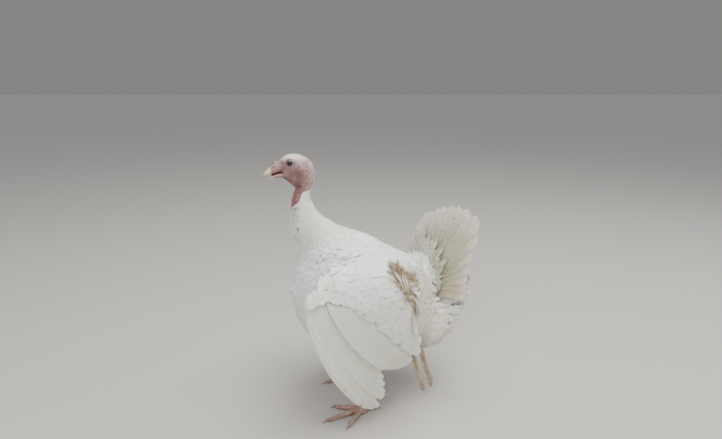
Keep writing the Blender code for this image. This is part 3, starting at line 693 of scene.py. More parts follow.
# the loft ends in a small point at the front of the breast: round it off
_front = np.argwhere((F_BODY < 0) & (BAX[2] < 0.38)[None, None, :])
_front = _front[_front[:, 1].argmin()]
_gx, _gy, _gz = np.meshgrid(*[a - a[i] for a, i in zip(BAX, _front)], indexing="ij")
print("breast point", [round(float(a[i]), 4) for a, i in zip(BAX, _front)])
F_BODY = F_BODY + 0.0085 * np.exp(-(_gx ** 2 + _gy ** 2 + _gz ** 2)
                                  / (2 * 0.0105 ** 2)) * (_gy < 0.03)
BODY = Field(BAX, F_BODY)


def wing_slab(w, sx, P, inset, thin=0.0):
    """Distance, about, to the folded wing's plate, drawn in by inset."""
    y, z = P[0, :, :, 1], P[0, :, :, 2]
    xo = sheet_x(w, y, z) - inset
    gy, gz = np.gradient(xo, BAX[1], BAX[2])
    n = np.sqrt(1 + gy ** 2 + gz ** 2)[None]
    zl, zt = w["zl"](y)[0], w["zt"](y)[0]
    edge = np.maximum.reduce([
        0.75 * (zl + 0.006 + inset - z), 0.85 * (z - zt + 0.8 * inset),
        w["low"][0][0] + 0.003 + inset - y,
        y - w["low"][-1][0] + 0.6 * inset])
    th = 0.006 + 0.024 * smooth(0.0, -0.05, edge)
    do = (sx * P[..., 0] - xo[None]) / n
    di = ((xo - th)[None] - sx * P[..., 0]) / n
    return smax(smax(do, di, 0.006), edge[None], 0.008)


def tail_space(P):
    """Radius, angle and distance behind the fan's middle plane."""
    dx, dy, dz = (P[..., k] - TAIL_BASE[k] for k in range(3))
    c, s = math.cos(TAIL_LEAN), math.sin(TAIL_LEAN)
    up, back = dy * s + dz * c, dy * c - dz * s
    r = np.sqrt(dx ** 2 + up ** 2)
    return r, np.arctan2(dx, up), back - TAIL_SWEEP * (r / 0.288) ** 2


def tail_point(r, a, back):
    up, c, s = r * np.cos(a), math.cos(TAIL_LEAN), math.sin(TAIL_LEAN)
    back = back + TAIL_SWEEP * (r / 0.288) ** 2
    return np.stack([TAIL_BASE[0] + r * np.sin(a) + 0 * back,
                     TAIL_BASE[1] + up * s + back * c,
                     TAIL_BASE[2] + up * c - back * s], -1)


def rump_thickness(r, a):
    side = 1 - np.clip(np.abs(np.degrees(a) - 2) / 78, 0, 1) ** 2.2
    v = np.clip((r - 0.020) / (0.086 + 0.040 * side), 0, 1)
    return (0.006 + 0.042 * side) * (1 - v) ** 0.9 + 0.0035, v


def solid_field(inset):
    X, Y, Z = np.meshgrid(*BAX, indexing="ij")
    P = np.stack([X, Y, Z], -1)
    D = F_BODY + (coat_depth(P) if inset else 0.0)
    for side, w in WINGS.items():
        D = smin(D, wing_slab(w, 1 if side == "left" else -1, P,
                              0.0065 if inset else 0.0), 0.012)
    r, a, back = tail_space(P)
    th, v = rump_thickness(r, a)
    out = 0.5 if inset else 0.9
    slab = smax(-0.004 - th * out - back, back + 0.004, 0.004)
    slab = smax(slab, (v - (0.70 if inset else 0.85)) * 0.12, 0.01)
    return P, smin(D, slab, 0.016)


def skin_body():
    P, D = solid_field(True)
    D = D + 0.001 * smooth(0.45, 0.475, P[..., 2])
    return surface_nets(smax(D, P[..., 2] - 0.487, 0.002), BAX)


def skin_head():
    s = 0.0008
    ax = [np.arange(-0.031, 0.031, s), np.arange(-0.2115, -0.100, s),
          np.arange(0.4780, 0.6115, s)]
    X, Y, Z = np.meshgrid(*(a.astype(np.float32) for a in ax), indexing="ij")
    neck, t = neck_field(ax)
    yc = np.interp(ax[2], NL.v[:, 1], NL.v[:, 0])
    phi = np.degrees(np.arctan2(np.abs(X), -(Y - yc[None, None, :].astype(np.float32))))
    zb = BE(phi)[0]
    neck = neck + 0.0030 * smooth(zb + 0.0008, zb - 0.0035, Z)
    f, x, z = to_head(X, Y, Z)
    top, bot, w, zc = HD(f)
    h = np.where(z > zc, top - zc, zc - bot)
    g = np.sqrt((x / w) ** 2 + ((z - zc) / h) ** 2)
    g = g + np.maximum(f - 36.6, 0) / 3.0 + np.maximum(-51.5 - f, 0) / 5.0
    D = smin(field_distance(g, ax), neck, 0.007)
    # skin of the lower jaw
    jt, jb, jw = BL(f)
    jz, jh = 0.5 * (jt + jb), 0.5 * (jt - jb) + 0.35
    g = (np.abs(x / (jw + 0.4)) ** 2.2 + np.abs((z - jz) / jh) ** 2.2) ** (1 / 2.2)
    g = g + np.maximum(f - 31.5, 0) / 4.0 + np.maximum(8 - f, 0) / 4.0
    D = smin(D, field_distance(g, ax), 0.0014)
    # tongue and floor of the mouth
    g = np.sqrt((x / 5.2) ** 2 + ((z + 19.8 + (f - 14) * 0.27) / 2.5) ** 2)
    g = g + np.maximum(f - 32, 0) / 6.0 + np.maximum(8 - f, 0) / 4.0
    D = smin(D, field_distance(g, ax), 0.0006)
    D = D * 1e3                                        # mm from here on
    fe, ze = f - EYE_F, z - EYE_Z
    for sx in (1, -1):
        lx = sx * x
        near = lx > 6
        ball = np.sqrt(fe ** 2 + ze ** 2 + (lx - EYE_OUT) ** 2)
        D = np.where(near, smax(D, 7.65 - ball, 0.7), D)
        rho = np.sqrt((fe / 1.07) ** 2 + (ze / 0.93) ** 2)
        lid = np.sqrt((rho - 6.0) ** 2 + (lx - 16.5) ** 2) - 1.30
        lid = np.minimum(lid, np.sqrt((rho - 5.2) ** 2 + (lx - 17.0) ** 2) - 0.55)
        D = np.where(near, smin(D, lid, 1.1), D)
        ring = 0.30 * np.cos(6.283 * (rho - 6.2) / 2.7) * smooth(6.6, 8.0, rho) \
            * smooth(14.0, 9.5, rho) * smooth(8, 11, lx)
        D = D - ring
        flap = np.sqrt(((f - 30.4) / 5.4) ** 2 + ((lx - 6.6) / 2.5) ** 2
                       + ((z + 8.9) / 3.6) ** 2)
        D = smin(D, (flap - 1) * 2.6, 1.4)
        slit = np.sqrt(((f - 31.0) / 3.3) ** 2 + ((lx - 8.8) / 2.4) ** 2
                       + ((z + 7.3 + 0.10 * (f - 31)) / 0.85) ** 2)
        D = np.where(lx > 4, smax(D, -(slit - 1) * 0.85, 0.5), D)
        ear = np.sqrt((f + 21) ** 2 + (lx - 19.4) ** 2 + (z + 9.5) ** 2)
        D = np.where(near, smax(D, 2.2 - ear, 1.2), D)
        fold = np.abs(z + 19.5 + 0.30 * (f - 12)) + 0.15 * np.abs(f - 7)
        D = D + 0.45 * np.exp(-(fold / 0.9) ** 2) * smooth(-4, 2, f) \
            * smooth(13, 11, f) * smooth(8, 12, lx)
    # snood: a short nub on the forehead
    a, b = np.array([26.0, 0, -1.0]), np.array([29.3, 0, 2.6])
    d = b - a
    q = [f - a[0], x, z - a[2]]
    s_ = np.clip((q[0] * d[0] + q[2] * d[2]) / (d @ d), 0, 1)
    nub = np.sqrt((q[0] - d[0] * s_) ** 2 + x ** 2 + (q[2] - d[2] * s_) ** 2) \
        - (3.1 - 0.7 * s_) + 0.16 * np.cos(7.5 * s_ * 3)
    D = smin(D, nub, 2.0)
    # folds of loose skin, fine below the ear and across the nape
    Q = np.stack([f, x, z], -1).astype(np.float32)
    soft = smooth(16, 4, f) * smooth(14, 0, z)
    near = np.abs(D) < 2.5
    w1 = np.zeros(D.shape)
    Qn = Q[near].astype(float)
    w1[near] = 0.34 * noise_of(Qn * np.array([1.0, 1.0, 0.7]), 6.5, 31) \
        + 0.16 * noise_of(Qn, 2.9, 32) \
        + 0.16 * np.sin(0.95 * Qn[:, 2] + 0.55 * Qn[:, 0]
                        + 2.0 * noise_of(Qn, 14.0, 33)) * smooth(-30, -42, Qn[:, 2])
    D = D + w1 * (0.35 + 0.65 * soft)
    # papillae: round bumps, thick on throat and lower cheek
    r = np.random.default_rng(5)
    cand = np.argwhere(np.abs(D) < 0.35)
    r.shuffle(cand)
    taken = 0
    for i, j, k in cand[:26000]:
        pf, px, pz = f[i, j, k], x[i, j, k], z[i, j, k]
        low = math.exp(-((pz + 62) / 18.0) ** 2) if pz < -44 else 0.0
        cheek = math.exp(-((pf + 36) / 11.0) ** 2 - ((pz + 34) / 15.0) ** 2)
        throat = math.exp(-((pf + 12) / 12.0) ** 2 - ((pz + 44) / 9.0) ** 2)
        want = max(low, 0.45 * cheek, 0.30 * throat)
        if Z[i, j, k] < 0.485 or r.random() > 0.030 * want:
            continue
        rad = r.uniform(0.9, 2.3) * (0.75 + 0.6 * low)
        m = int(2.2 * rad / (s * 1e3)) + 1
        sl = tuple(slice(max(c - m, 0), c + m + 1) for c in (i, j, k))
        dd = ((f[sl] - pf) ** 2 + (x[sl] - px) ** 2 + (z[sl] - pz) ** 2) / rad ** 2
        D[sl] -= (0.30 + 0.34 * low) * rad * np.exp(-1.6 * dd)
        taken += 1
    D = np.maximum(D, (0.4805 - Z) * 1e3)
    return surface_nets(D, ax)


def make_skin():
    bc, bq = skin_body()
    hc, hq = skin_head()
    none = np.zeros((0, 3), int)
    bq, _ = outward(bc, bq, none)
    hq, _ = outward(hc, hq, none)
    co = np.concatenate([bc, hc])
    ob = make("skin", co, [bq, hq + len(bc)])
    phi = np.degrees(np.arctan2(np.abs(hc[:, 0]),
                                -(hc[:, 1] - np.interp(hc[:, 2], NL.v[:, 1], NL.v[:, 0]))))
    zb = BE(phi)[0]
    bare = smooth(zb - 0.002, zb + 0.0005, hc[:, 2])
    tone = mix(plume_tone(hc) * np.array([0.92, 0.86, 0.84]), skin_tone(hc), bare)
    colour(ob, np.concatenate([plume_tone(bc) * 0.94, tone]))
    number(ob, "bare", np.concatenate([np.zeros(len(bc)), bare]))
    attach(ob, "root")
    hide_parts("trunk", "neck", "neck_upper", "head", "snood",
                "thigh_left", "thigh_right")
    return ob, (bc, bq), (hc, hq)


# -------------------------------------------------------- contour feathers
V_AT = np.array([0.24, 0.52, 0.80, 1.0])
V_WIDE = np.array([0.62, 1.00, 0.90, 0.46])
RING_U = np.array([-1.0, -0.5, 0.0, 0.5, 1.0, 0.0])
RING_H = np.array([0.0, 0.75, 1.0, 0.75, 0.0, -0.50])


def vane_faces(rings=4):
    tris = [(0, 1 + (j + 1) % 6, 1 + j) for j in range(6)]
    quads = []
    for r in range(rings - 1):
        for j in range(6):
            a, b = 1 + r * 6 + j, 1 + r * 6 + (j + 1) % 6
            quads.append((a, b, b + 6, a + 6))
    e = 1 + (rings - 1) * 6
    tris += [(e + 5, e + 0, e + 1), (e + 5, e + 1, e + 2),
             (e + 5, e + 2, e + 3), (e + 5, e + 3, e + 4)]
    sharp = np.zeros(1 + rings * 6, bool)
    sharp[0] = True
    for r in range(rings):
        sharp[1 + r * 6] = sharp[1 + r * 6 + 4] = True
    sharp[e:e + 5] = True
    return np.array(quads), np.array(tris), sharp


VQ, VT, VSHARP = vane_faces()
VANE_TRIS = len(VQ) * 2 + len(VT)


def stations(N, rng, rag=0.06):
    """Per feather: v and relative width at each ring point (N, 4, 6)."""
    v = np.broadcast_to(V_AT[None, :, None], (N, 4, 6)).copy()
    u = np.broadcast_to(RING_U[None, None, :], (N, 4, 6)).copy()
    wide = np.broadcast_to(V_WIDE[None, :, None], (N, 4, 6)).copy()
    v[:, 3, :5] -= rag * rng.random((N, 5)) + 0.09 * np.abs(RING_U[:5]) ** 2
    v[:, 3, 5] = 0.93
    wide *= 1 + 0.10 * (rng.random((N, 4, 6)) - 0.5)
    return v, u, u * wide


def lay_on_body(root, lie, L, W, rng, rise=2.1, lift=0.0, thick=0.00032,
                camber=0.00035, rag=0.06, bend=0.10, field=None):
    """Vanes that leave the skin at root and follow the body's surface."""
    field = field or BODY
    N = len(root)
    F, g = field(root)
    n = unit(g)
    c0 = np.clip(-F, 0.0008, 0.05)
    d = unit(lie - np.sum(lie * n, -1, keepdims=True) * n)
    v, u, uw = stations(N, rng, rag)
    lift = np.broadcast_to(np.asarray(lift, float), (N,))
    out = np.empty((N, 25, 3))
    out[:, 0] = root
    face = np.empty((N, 25, 3))
    face[:, 0] = n
    thick = np.broadcast_to(np.asarray(thick, float), (N,))
    pos = root.copy()
    prev = 0.0
    side_bend = rng.normal(0, bend, N)
    for k in range(4):
        ds = (V_AT[k] - prev) * L
        steps = 2 if k else 1
        for _ in range(steps):
            F, g = field(pos)
            n = unit(g)
            d = unit(d - np.sum(d * n, -1, keepdims=True) * n)
            side = np.cross(d, n)
            d = unit(d + side * (side_bend * (ds / steps) / L)[:, None])
            pos = pos + d * (ds / steps)[:, None]
        prev = V_AT[k]
        want = -c0 * (1 - V_AT[k]) ** rise - 0.0003 + lift * V_AT[k] ** 2
        F, g = field(pos)
        n = unit(g)
        pos = pos + n * np.clip(want - F, -0.006, 0.006)[:, None]
        d = unit(d - np.sum(d * n, -1, keepdims=True) * n)
        side = np.cross(d, n)
        back = (v[:, k] - V_AT[k]) * L[:, None]
        p = (pos[:, None] + side[:, None] * (uw[:, k] * W[:, None])[..., None]
             + d[:, None] * back[..., None])
        F, g = field(p)
        nn = unit(g)
        aim = want[:, None] - camber * u[:, k] ** 2 * (W / 0.012)[:, None]
        p = p + nn * np.clip(aim - F, -0.006, 0.006)[..., None]
        p = p + nn * (thick[:, None] * RING_H)[..., None]
        out[:, 1 + 6 * k:7 + 6 * k] = p
        face[:, 1 + 6 * k:7 + 6 * k] = nn + side[:, None] * (
            0.10 * u[:, k])[..., None]
    vv = np.concatenate([np.zeros((N, 1)), v.reshape(N, 24)], 1)
    uu = np.concatenate([np.zeros((N, 1)), uw.reshape(N, 24)], 1)
    return out, uu, vv, unit(face + 0.05 * rng.normal(size=(N, 1, 3)))


def lay_on_sheet(place, root, lie, L, W, rng, depth=0.006, lift=0.0,
                 thick=0.00032, camber=0.00035, rag=0.06, bend=0.05, rise=1.9):
    """Vanes over a sheet; place takes 2-D points and a depth below its face."""
    N = len(root)
    v, u, uw = stations(N, rng, rag)
    depth = np.broadcast_to(np.asarray(depth, float), (N,))
    lift = np.broadcast_to(np.asarray(lift, float), (N,))
    vv = np.concatenate([np.zeros((N, 1)), v.reshape(N, 24)], 1)
    uu = np.concatenate([np.zeros((N, 1)), uw.reshape(N, 24)], 1)
    u0 = np.concatenate([np.zeros((N, 1)), u.reshape(N, 24)], 1)
    hh = np.concatenate([[0.0], np.tile(RING_H, 4)]) * thick
    lie = unit(lie)
    perp = np.stack([-lie[:, 1], lie[:, 0]], -1)
    curl = rng.normal(0, bend, N)
    q = (root[:, None] + lie[:, None] * (vv * L[:, None])[..., None]
         + perp[:, None] * (uu * W[:, None]
                            + curl[:, None] * L[:, None] * vv ** 2)[..., None])
    dep = (depth[:, None] * (1 - vv) ** rise + 0.0004
           + camber * u0 ** 2 * (W / 0.012)[:, None] - lift[:, None] * vv ** 2
           - hh[None])
    co = place(q, dep)
    face = unit(place(q, dep - 0.001) - co)
    return co, uu, vv, unit(face + 0.05 * rng.normal(size=(N, 1, 3)))


def turned():
    """Sign of (along x across) . outward for a vane whose faces look outward."""
    v = np.zeros((25, 3))
    for k in range(4):
        v[1 + 6 * k:7 + 6 * k, 0] = RING_U
        v[1 + 6 * k:7 + 6 * k, 1] = V_AT[k]
        v[1 + 6 * k:7 + 6 * k, 2] = 0.1 * RING_H
    a, b, c, d = VQ[6 + 1]
    n = np.cross(v[c] - v[a], v[d] - v[b])
    up = np.cross(v[15] - v[3], v[11] - v[7])
    return 1.0 if n[2] * up[2] > 0 else -1.0


TURNED = turned()


def soft_normals(ob, face, soft):
    """Shade each vane by the lie of the plumage under it."""
    me = ob.data
    vi = np.empty(len(me.loops), np.int32)
    me.loops.foreach_get("vertex_index", vi)
    flat = np.empty(len(me.polygons) * 3)
    me.polygons.foreach_get("normal", flat)
    count = np.empty(len(me.polygons), np.int32)
    me.polygons.foreach_get("loop_total", count)
    g = np.repeat(flat.reshape(-1, 3), count, axis=0)
    f = face[vi]
    dot = np.sum(g * f, -1)
    f = f * np.where(dot >= 0, 1.0, -1.0)[:, None]
    k = (soft * smooth(0.15, 0.65, np.abs(dot)))[:, None]
    me.normals_split_custom_set(unit(k * f + (1 - k) * g).tolist())


def coat(name, verts, uu, vv, L, W, root_uv, tone, face,
         soft=0.84):
    """Join vanes into pieces of under 200,000 triangles, with their maps."""
    N, K = verts.shape[:2]
    # vanes laid on a mirrored face are turned the right way out
    across = verts[:, 11] - verts[:, 7]
    along_ = verts[:, 15] - verts[:, 3]
    if np.mean(np.sum(np.cross(along_, across) * face[:, 9], -1)) * TURNED < 0:
        swap = np.concatenate([[0]] + [1 + 6 * k + np.array([4, 3, 2, 1, 0, 5])
                                       for k in range(4)])
        verts, uu, vv, face, tone = (v[:, swap] for v in (verts, uu, vv, face, tone))
    per = max(1, int(190000 // VANE_TRIS))
    count = int(math.ceil(N / per))
    lo, hi = root_uv.min(0), root_uv.max(0)
    root_uv = 0.01 + 0.98 * (root_uv - lo) / np.maximum(hi - lo, 1e-9)
    obs = []
    # neighbours stay together: split along the first unwrap axis
    order = np.argsort(root_uv[:, 0], kind="stable")
    for k, idx in enumerate(np.array_split(order, count)):
        n = len(idx)
        off = (np.arange(n) * K)[:, None, None]
        ob = make(name if count == 1 else "%s_%d" % (name, k + 1),
                  verts[idx].reshape(-1, 3),
                  [(VQ[None] + off).reshape(-1, 4), (VT[None] + off).reshape(-1, 3)],
                  sharp=np.tile(VSHARP, n))
        ruv = root_uv[idx]
        if count > 1:
            lo, hi = ruv.min(0), ruv.max(0)
            ruv = 0.01 + 0.98 * (ruv - lo) / np.maximum(hi - lo, 1e-9)
        patch = ruv[:, None] + 0.0015 * np.stack(
            [uu[idx], 2 * vv[idx] - 1], -1)
        corner_uv(ob, "OFBake", patch.reshape(-1, 2))
        vane = np.stack([uu[idx] * W[idx][:, None] * 100,
                         vv[idx] * L[idx][:, None] * 100], -1)
        corner_uv(ob, "vane", vane.reshape(-1, 2))
        colour(ob, tone[idx].reshape(-1, 3))
        soft_normals(ob, face[idx].reshape(-1, 3), soft)
        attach(ob, "root")
        obs.append(ob)
    return obs


def thin_out(P, spacing, seed):
    """Indices of points at least their own spacing apart."""
    rng = np.random.default_rng(seed)
    order = rng.permutation(len(P))
    big = float(spacing.max())
    cells = {}
    keys = np.floor(P / big).astype(int)
    keep = []
    pl, sl, kl = P.tolist(), spacing.tolist(), keys.tolist()
    near = [(a, b, c) for a in (-1, 0, 1) for b in (-1, 0, 1) for c in (-1, 0, 1)]
    for i in order.tolist():
        x, y, z = pl[i]
        a, b, c = kl[i]
        r2 = sl[i] ** 2
        ok = True
        for da, db, dc in near:
            for qx, qy, qz in cells.get((a + da, b + db, c + dc), ()):
                if (qx - x) ** 2 + (qy - y) ** 2 + (qz - z) ** 2 < r2:
                    ok = False
                    break
            if not ok:
                break
        if ok:
            cells.setdefault((a, b, c), []).append((x, y, z))
            keep.append(i)
    return np.array(keep)


def scatter(co, quads, n, seed):
    """Random points over a mesh of quads, by area."""
    rng = np.random.default_rng(seed)
    a, b, c, d = (co[quads[:, k]] for k in range(4))
    area = 0.5 * (np.linalg.norm(np.cross(b - a, c - a), axis=1)
                  + np.linalg.norm(np.cross(c - a, d - a), axis=1))
    pick = rng.choice(len(quads), n, p=area / area.sum())
    s, t = rng.random((2, n, 1))
    return ((1 - s) * (1 - t) * a[pick] + s * (1 - t) * b[pick]
            + s * t * c[pick] + (1 - s) * t * d[pick])


def azimuthal(P, centre, pole):
    """Unwrap of a rounded patch of skin about its own pole."""
    d = unit(P - np.asarray(centre))
    m = unit(np.asarray(pole, float))
    e1 = unit(np.cross(m, [0.0, 0.13, 1.0]))
    e2 = np.cross(m, e1)
    ang = np.arccos(np.clip(d @ m, -1, 1))
    az = np.arctan2(d @ e2, d @ e1)
    return np.stack([ang * np.cos(az), ang * np.sin(az)], -1)


NECK_T = np.linspace(0, 1, 200)
_ny, _nz, _nd, _nw = NL(NECK_T)


def wing_share(P, x_in=0.0065, tol=0.007):
    """Which places lie on the outer face of a folded wing, and its lie."""
    x, y, z = P.T
    on = np.zeros(len(P))
    low = np.zeros(len(P))
    lie = np.zeros((len(P), 3))
    for side, w in WINGS.items():
        sx = 1 if side == "left" else -1
        zl, zt = w["zl"](y)[0], w["zt"](y)[0]
        k = smooth(tol * 1.6, tol, np.abs(sx * x - (sheet_x(w, y, z) - x_in))) \
            * smooth(-0.010, 0.0, z - zl) * smooth(0.004, -0.012, z - zt) \
            * smooth(-0.006, 0.006, y - w["low"][0][0]) \
            * smooth(0.006, -0.004, y - w["low"][-1][0])
        p = (y - w["low"][0][0]) / (w["low"][-1][0] - w["low"][0][0])
        q = np.clip((z - zl) / np.maximum(zt - zl, 0.02), 0, 1)
        gy = np.interp(p, [0, .35, .7, 1], [0.14, 0.34, 0.58, 0.80]) + 0.55 * q
        gz = np.interp(p, [0, .35, .7, 1], [-.98, -.93, -.80, -.66]) + 0.22 * q
        d = np.stack([0 * y, gy, gz], -1)
        lie = lie + d * k[:, None]
        on = on + k
        far = np.where(p > 0.15, z - zl, 1.0)
        low = np.where(k > 0.2, far, np.where(low == 0, 1.0, low))
    return np.clip(on, 0, 1), lie / np.maximum(on, 1e-6)[:, None], low


def lie_field(P, n):
    """Direction in which the plumage lies at each place."""
    x, y, z = P[:, 0], P[:, 1], P[:, 2]
    t = np.interp(z, _nz, NECK_T)
    a, b = NL(np.clip(t + 0.03, 0, 1)), NL(np.clip(t - 0.03, 0, 1))
    down = unit(np.stack([0 * x, b[0] - a[0], b[1] - a[1]], -1))
    body = np.stack([0 * x, 0 * x + 1.0, -0.18 - 0.35 * smooth(0.36, 0.24, z)], -1)
    breast = np.stack([0.0 * x, 0 * x + 0.30, 0 * x - 1.0], -1)
    g = mix(body, breast, smooth(-0.02, -0.12, y) * smooth(0.20, 0.26, z))
    g = mix(g, down, smooth(0.375, 0.430, z) * smooth(0.02, -0.06, y))
    leg = smooth(0.175, 0.150, z) * (y < 0.115) * (np.abs(x) > 0.03)
    g = mix(g, np.array([0.0, 0.22, -1.0]), leg)
    wing, wl, _ = wing_share(P)
    g = mix(g, wl, wing)
    side = smooth(0.30, 0.75, np.abs(n[:, 0]))
    behind = np.maximum(smooth(-0.002, 0.012, rump_zone(P)) * side,
                        smooth(0.165, 0.195, y))
    up = np.stack([0.5 * (x - UNDER_X) / 0.1, 0 * x + 0.50, 0 * x + 1.0], -1)
    dn = np.stack([0.3 * (x - UNDER_X) / 0.1, 0 * x + 0.7, 0 * x - 0.8], -1)
    return mix(g, mix(dn, up, smooth(0.195, 0.265, z)), behind)


def turn(d, n, a):
    """Rotate directions about normals by angles."""
    a = np.asarray(a)[:, None]
    return d * np.cos(a) + np.cross(n, d) * np.sin(a)


# ---------------------------------------------------------- flight feathers
class Line2:
    """A plane path with lengths, read with its left-hand normal."""

    def __init__(self, a, m, b, n=160):
        t = np.linspace(0, 1, n)[:, None]
        self.p = (1 - t) ** 2 * a + 2 * t * (1 - t) * m + t * t * b
        d = np.linalg.norm(np.diff(self.p, axis=0), axis=1)
        self.s = np.concatenate([[0], np.cumsum(d)])
        self.L = self.s[-1]
        self.s /= self.L
        g = unit(np.gradient(self.p, axis=0))
        self.t, self.n = g, np.stack([-g[:, 1], g[:, 0]], -1)

    def at(self, s, lateral):
        e = np.clip(s, 0, 1)
        p = np.stack([np.interp(e, self.s, self.p[:, k]) for k in (0, 1)], -1)
        n = np.stack([np.interp(e, self.s, self.n[:, k]) for k in (0, 1)], -1)
        t = np.stack([np.interp(e, self.s, self.t[:, k]) for k in (0, 1)], -1)
        return p + n * lateral[..., None] + t * ((s - e) * self.L)[..., None]


def plate(out, inn, u, v):
    """A closed plate from two grids; returns points, quads and its map."""
    R, C = out.shape[:2]
    n = R * C
    i, j = np.meshgrid(np.arange(R - 1), np.arange(C - 1), indexing="ij")
    a = (i * C + j).ravel()
    top = np.stack([a, a + C, a + C + 1, a + 1], 1)
    bot = top[:, ::-1] + n
    rim = ([k * C for k in range(R)] + [(R - 1) * C + k for k in range(1, C)]
           + [k * C + C - 1 for k in range(R - 2, -1, -1)]
           + [k for k in range(C - 2, 0, -1)])
    rim = np.array(rim + rim[:1])
    side = np.stack([rim[:-1], rim[:-1] + n, rim[1:] + n, rim[1:]], 1)
    co = np.concatenate([out.reshape(-1, 3), inn.reshape(-1, 3)])
    uv = np.stack([u.ravel(), v.ravel()], -1)
    sharp = np.zeros(n, bool)
    sharp[rim] = True
    return co, np.concatenate([top, bot, side]), np.tile(uv, (2, 1)), \
        np.tile(sharp, 2)


def flight_feather(path, wide, spacing, place, step, rng, rows=36, cols=4,
                   first=0.04, splits=3, wear=1.0, fade=2.5, thick=0.0010,
                   shaft=0.0014, camber=0.0016, slope=0.95):
    """One long feather: two vanes of barb rows and a ridged shaft.

    wide(s, side) is the vane's half width; place(p, depth) sets it in space.
    """
    parts, off = [], 0
    col = np.linspace(0, 1, cols + 1)
    e = np.linspace(0, 1, 400)
    for side in (-1, 1):
        W = wide(e, side)
        g = np.maximum.accumulate(e * path.L - slope * W) + 1e-7 * e
        s0 = first + (0.985 - first) * np.linspace(0, 1, rows) ** 0.96
        end = np.interp(s0 * path.L, g, e)
        reach = np.interp(end, e, W)
        reach = reach * (1 + 0.05 * wear * rng.normal(size=rows)
                         * smooth(0.3, 0.9, s0))
        end = end + 0.0012 * wear * rng.normal(size=rows) / path.L
        shift_lo, shift_hi = np.zeros(rows), np.zeros(rows)
        cuts = []
        for _ in range(rng.poisson(splits)):
            k = int(rng.integers(5, rows - 4))
            if all(abs(k - c) > 3 for c in cuts):
                cuts.append(k)
        cuts = sorted(cuts)
        seg = [0] + cuts + [rows - 1]
        for a, b in zip(seg[:-1], seg[1:]):
            ks = np.arange(a, b + 1)
            sh = np.zeros(len(ks))
            if a:
                sh += rng.uniform(0.0006, 0.0034) * np.exp(-(ks - a) / 1.6)
            if b < rows - 1:
                sh -= rng.uniform(0.0006, 0.0030) * np.exp(-(b - ks) / 1.6)
            en = end[ks] + sh / path.L
            s = s0[ks, None] + (en - s0[ks])[:, None] * col[None] ** 1.12
            lat = side * reach[ks, None] * col[None]
            gap = np.interp(np.clip(s, 0, 1), e, spacing)
            lay = step * np.clip(lat / gap, -1.3, 1.3) * np.minimum(1, fade * s)
            lay = lay + camber * col[None] ** 2
            th = thick * (1 - 0.62 * col[None]) * (1 - 0.45 * s)
            p = path.at(s, lat)
            o, i_ = place(p, lay), place(p, lay + th)
            co, q, uv, sh_ = plate(o, i_, 100 * lat,
                                   100 * np.broadcast_to(s0[ks, None] * path.L,
                                                         lat.shape))
            q, _ = outward(co, q, np.zeros((0, 3), int))
            parts.append((co, q + off, uv, sh_, np.concatenate(
                [s.ravel(), s.ravel()]), np.zeros(len(co))))
            off += len(co)
    s = np.linspace(0, 0.97, 22)
    r = shaft * (1 - s) ** 0.7 + 0.00022
    k = np.arange(6) / 6 * 2 * math.pi
    lat = r[:, None] * np.cos(k)
    dep = -0.0003 - r[:, None] * 0.75 * np.sin(k) + 0.30 * thick
    ring = place(path.at(s[:, None] + 0 * lat, lat), dep)
    co, q, t = lofted(ring)
    q, t = outward(co, q, t)
    uv = np.concatenate([np.stack([0 * lat.ravel(), 100 * path.L
                                   * np.repeat(s, 6)], -1), np.zeros((2, 2))])
    parts.append((co, q + off, uv, np.zeros(len(co), bool),
                  np.concatenate([np.repeat(s, 6), [0, 1]]), np.ones(len(co))))
    tri = t + off
    off += len(co)
    cat = [np.concatenate([p[k] for p in parts]) for k in range(6)]
    return (*cat, tri)


def feather_set(name, feathers, tone, node):
    """Join flight feathers into one piece."""
    co = np.concatenate([f[0] for f in feathers])
    off = np.cumsum([0] + [len(f[0]) for f in feathers])
    quads = np.concatenate([f[1] + o for f, o in zip(feathers, off)])
    tris = np.concatenate([f[6] + o for f, o in zip(feathers, off)])
    sharp = np.concatenate([f[3] for f in feathers])
    ob = make(name, co, [quads, tris], sharp=sharp)
    uv = np.concatenate([f[2] for f in feathers])
    which = np.concatenate([np.full(len(f[0]), i) for i, f in enumerate(feathers)])
    cols = int(math.ceil(math.sqrt(len(feathers) * 2)))
    size = 1.0 / cols
    bake = np.stack([(which % cols + 0.5) * size + uv[:, 0] / 7.0 * size,
                     (which // cols + 0.04) * size + uv[:, 1] / 34.0 * size], -1)
    corner_uv(ob, "OFBake", bake)
    corner_uv(ob, "vane", uv)
    s = np.concatenate([f[4] for f in feathers])
    shaft = np.concatenate([f[5] for f in feathers])
    colour(ob, tone(co, uv, which, s, shaft))
    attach(ob, "root")
    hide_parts(*node)
    return ob


def along(table, t):
    return np.array([v for v in table(t)]).T


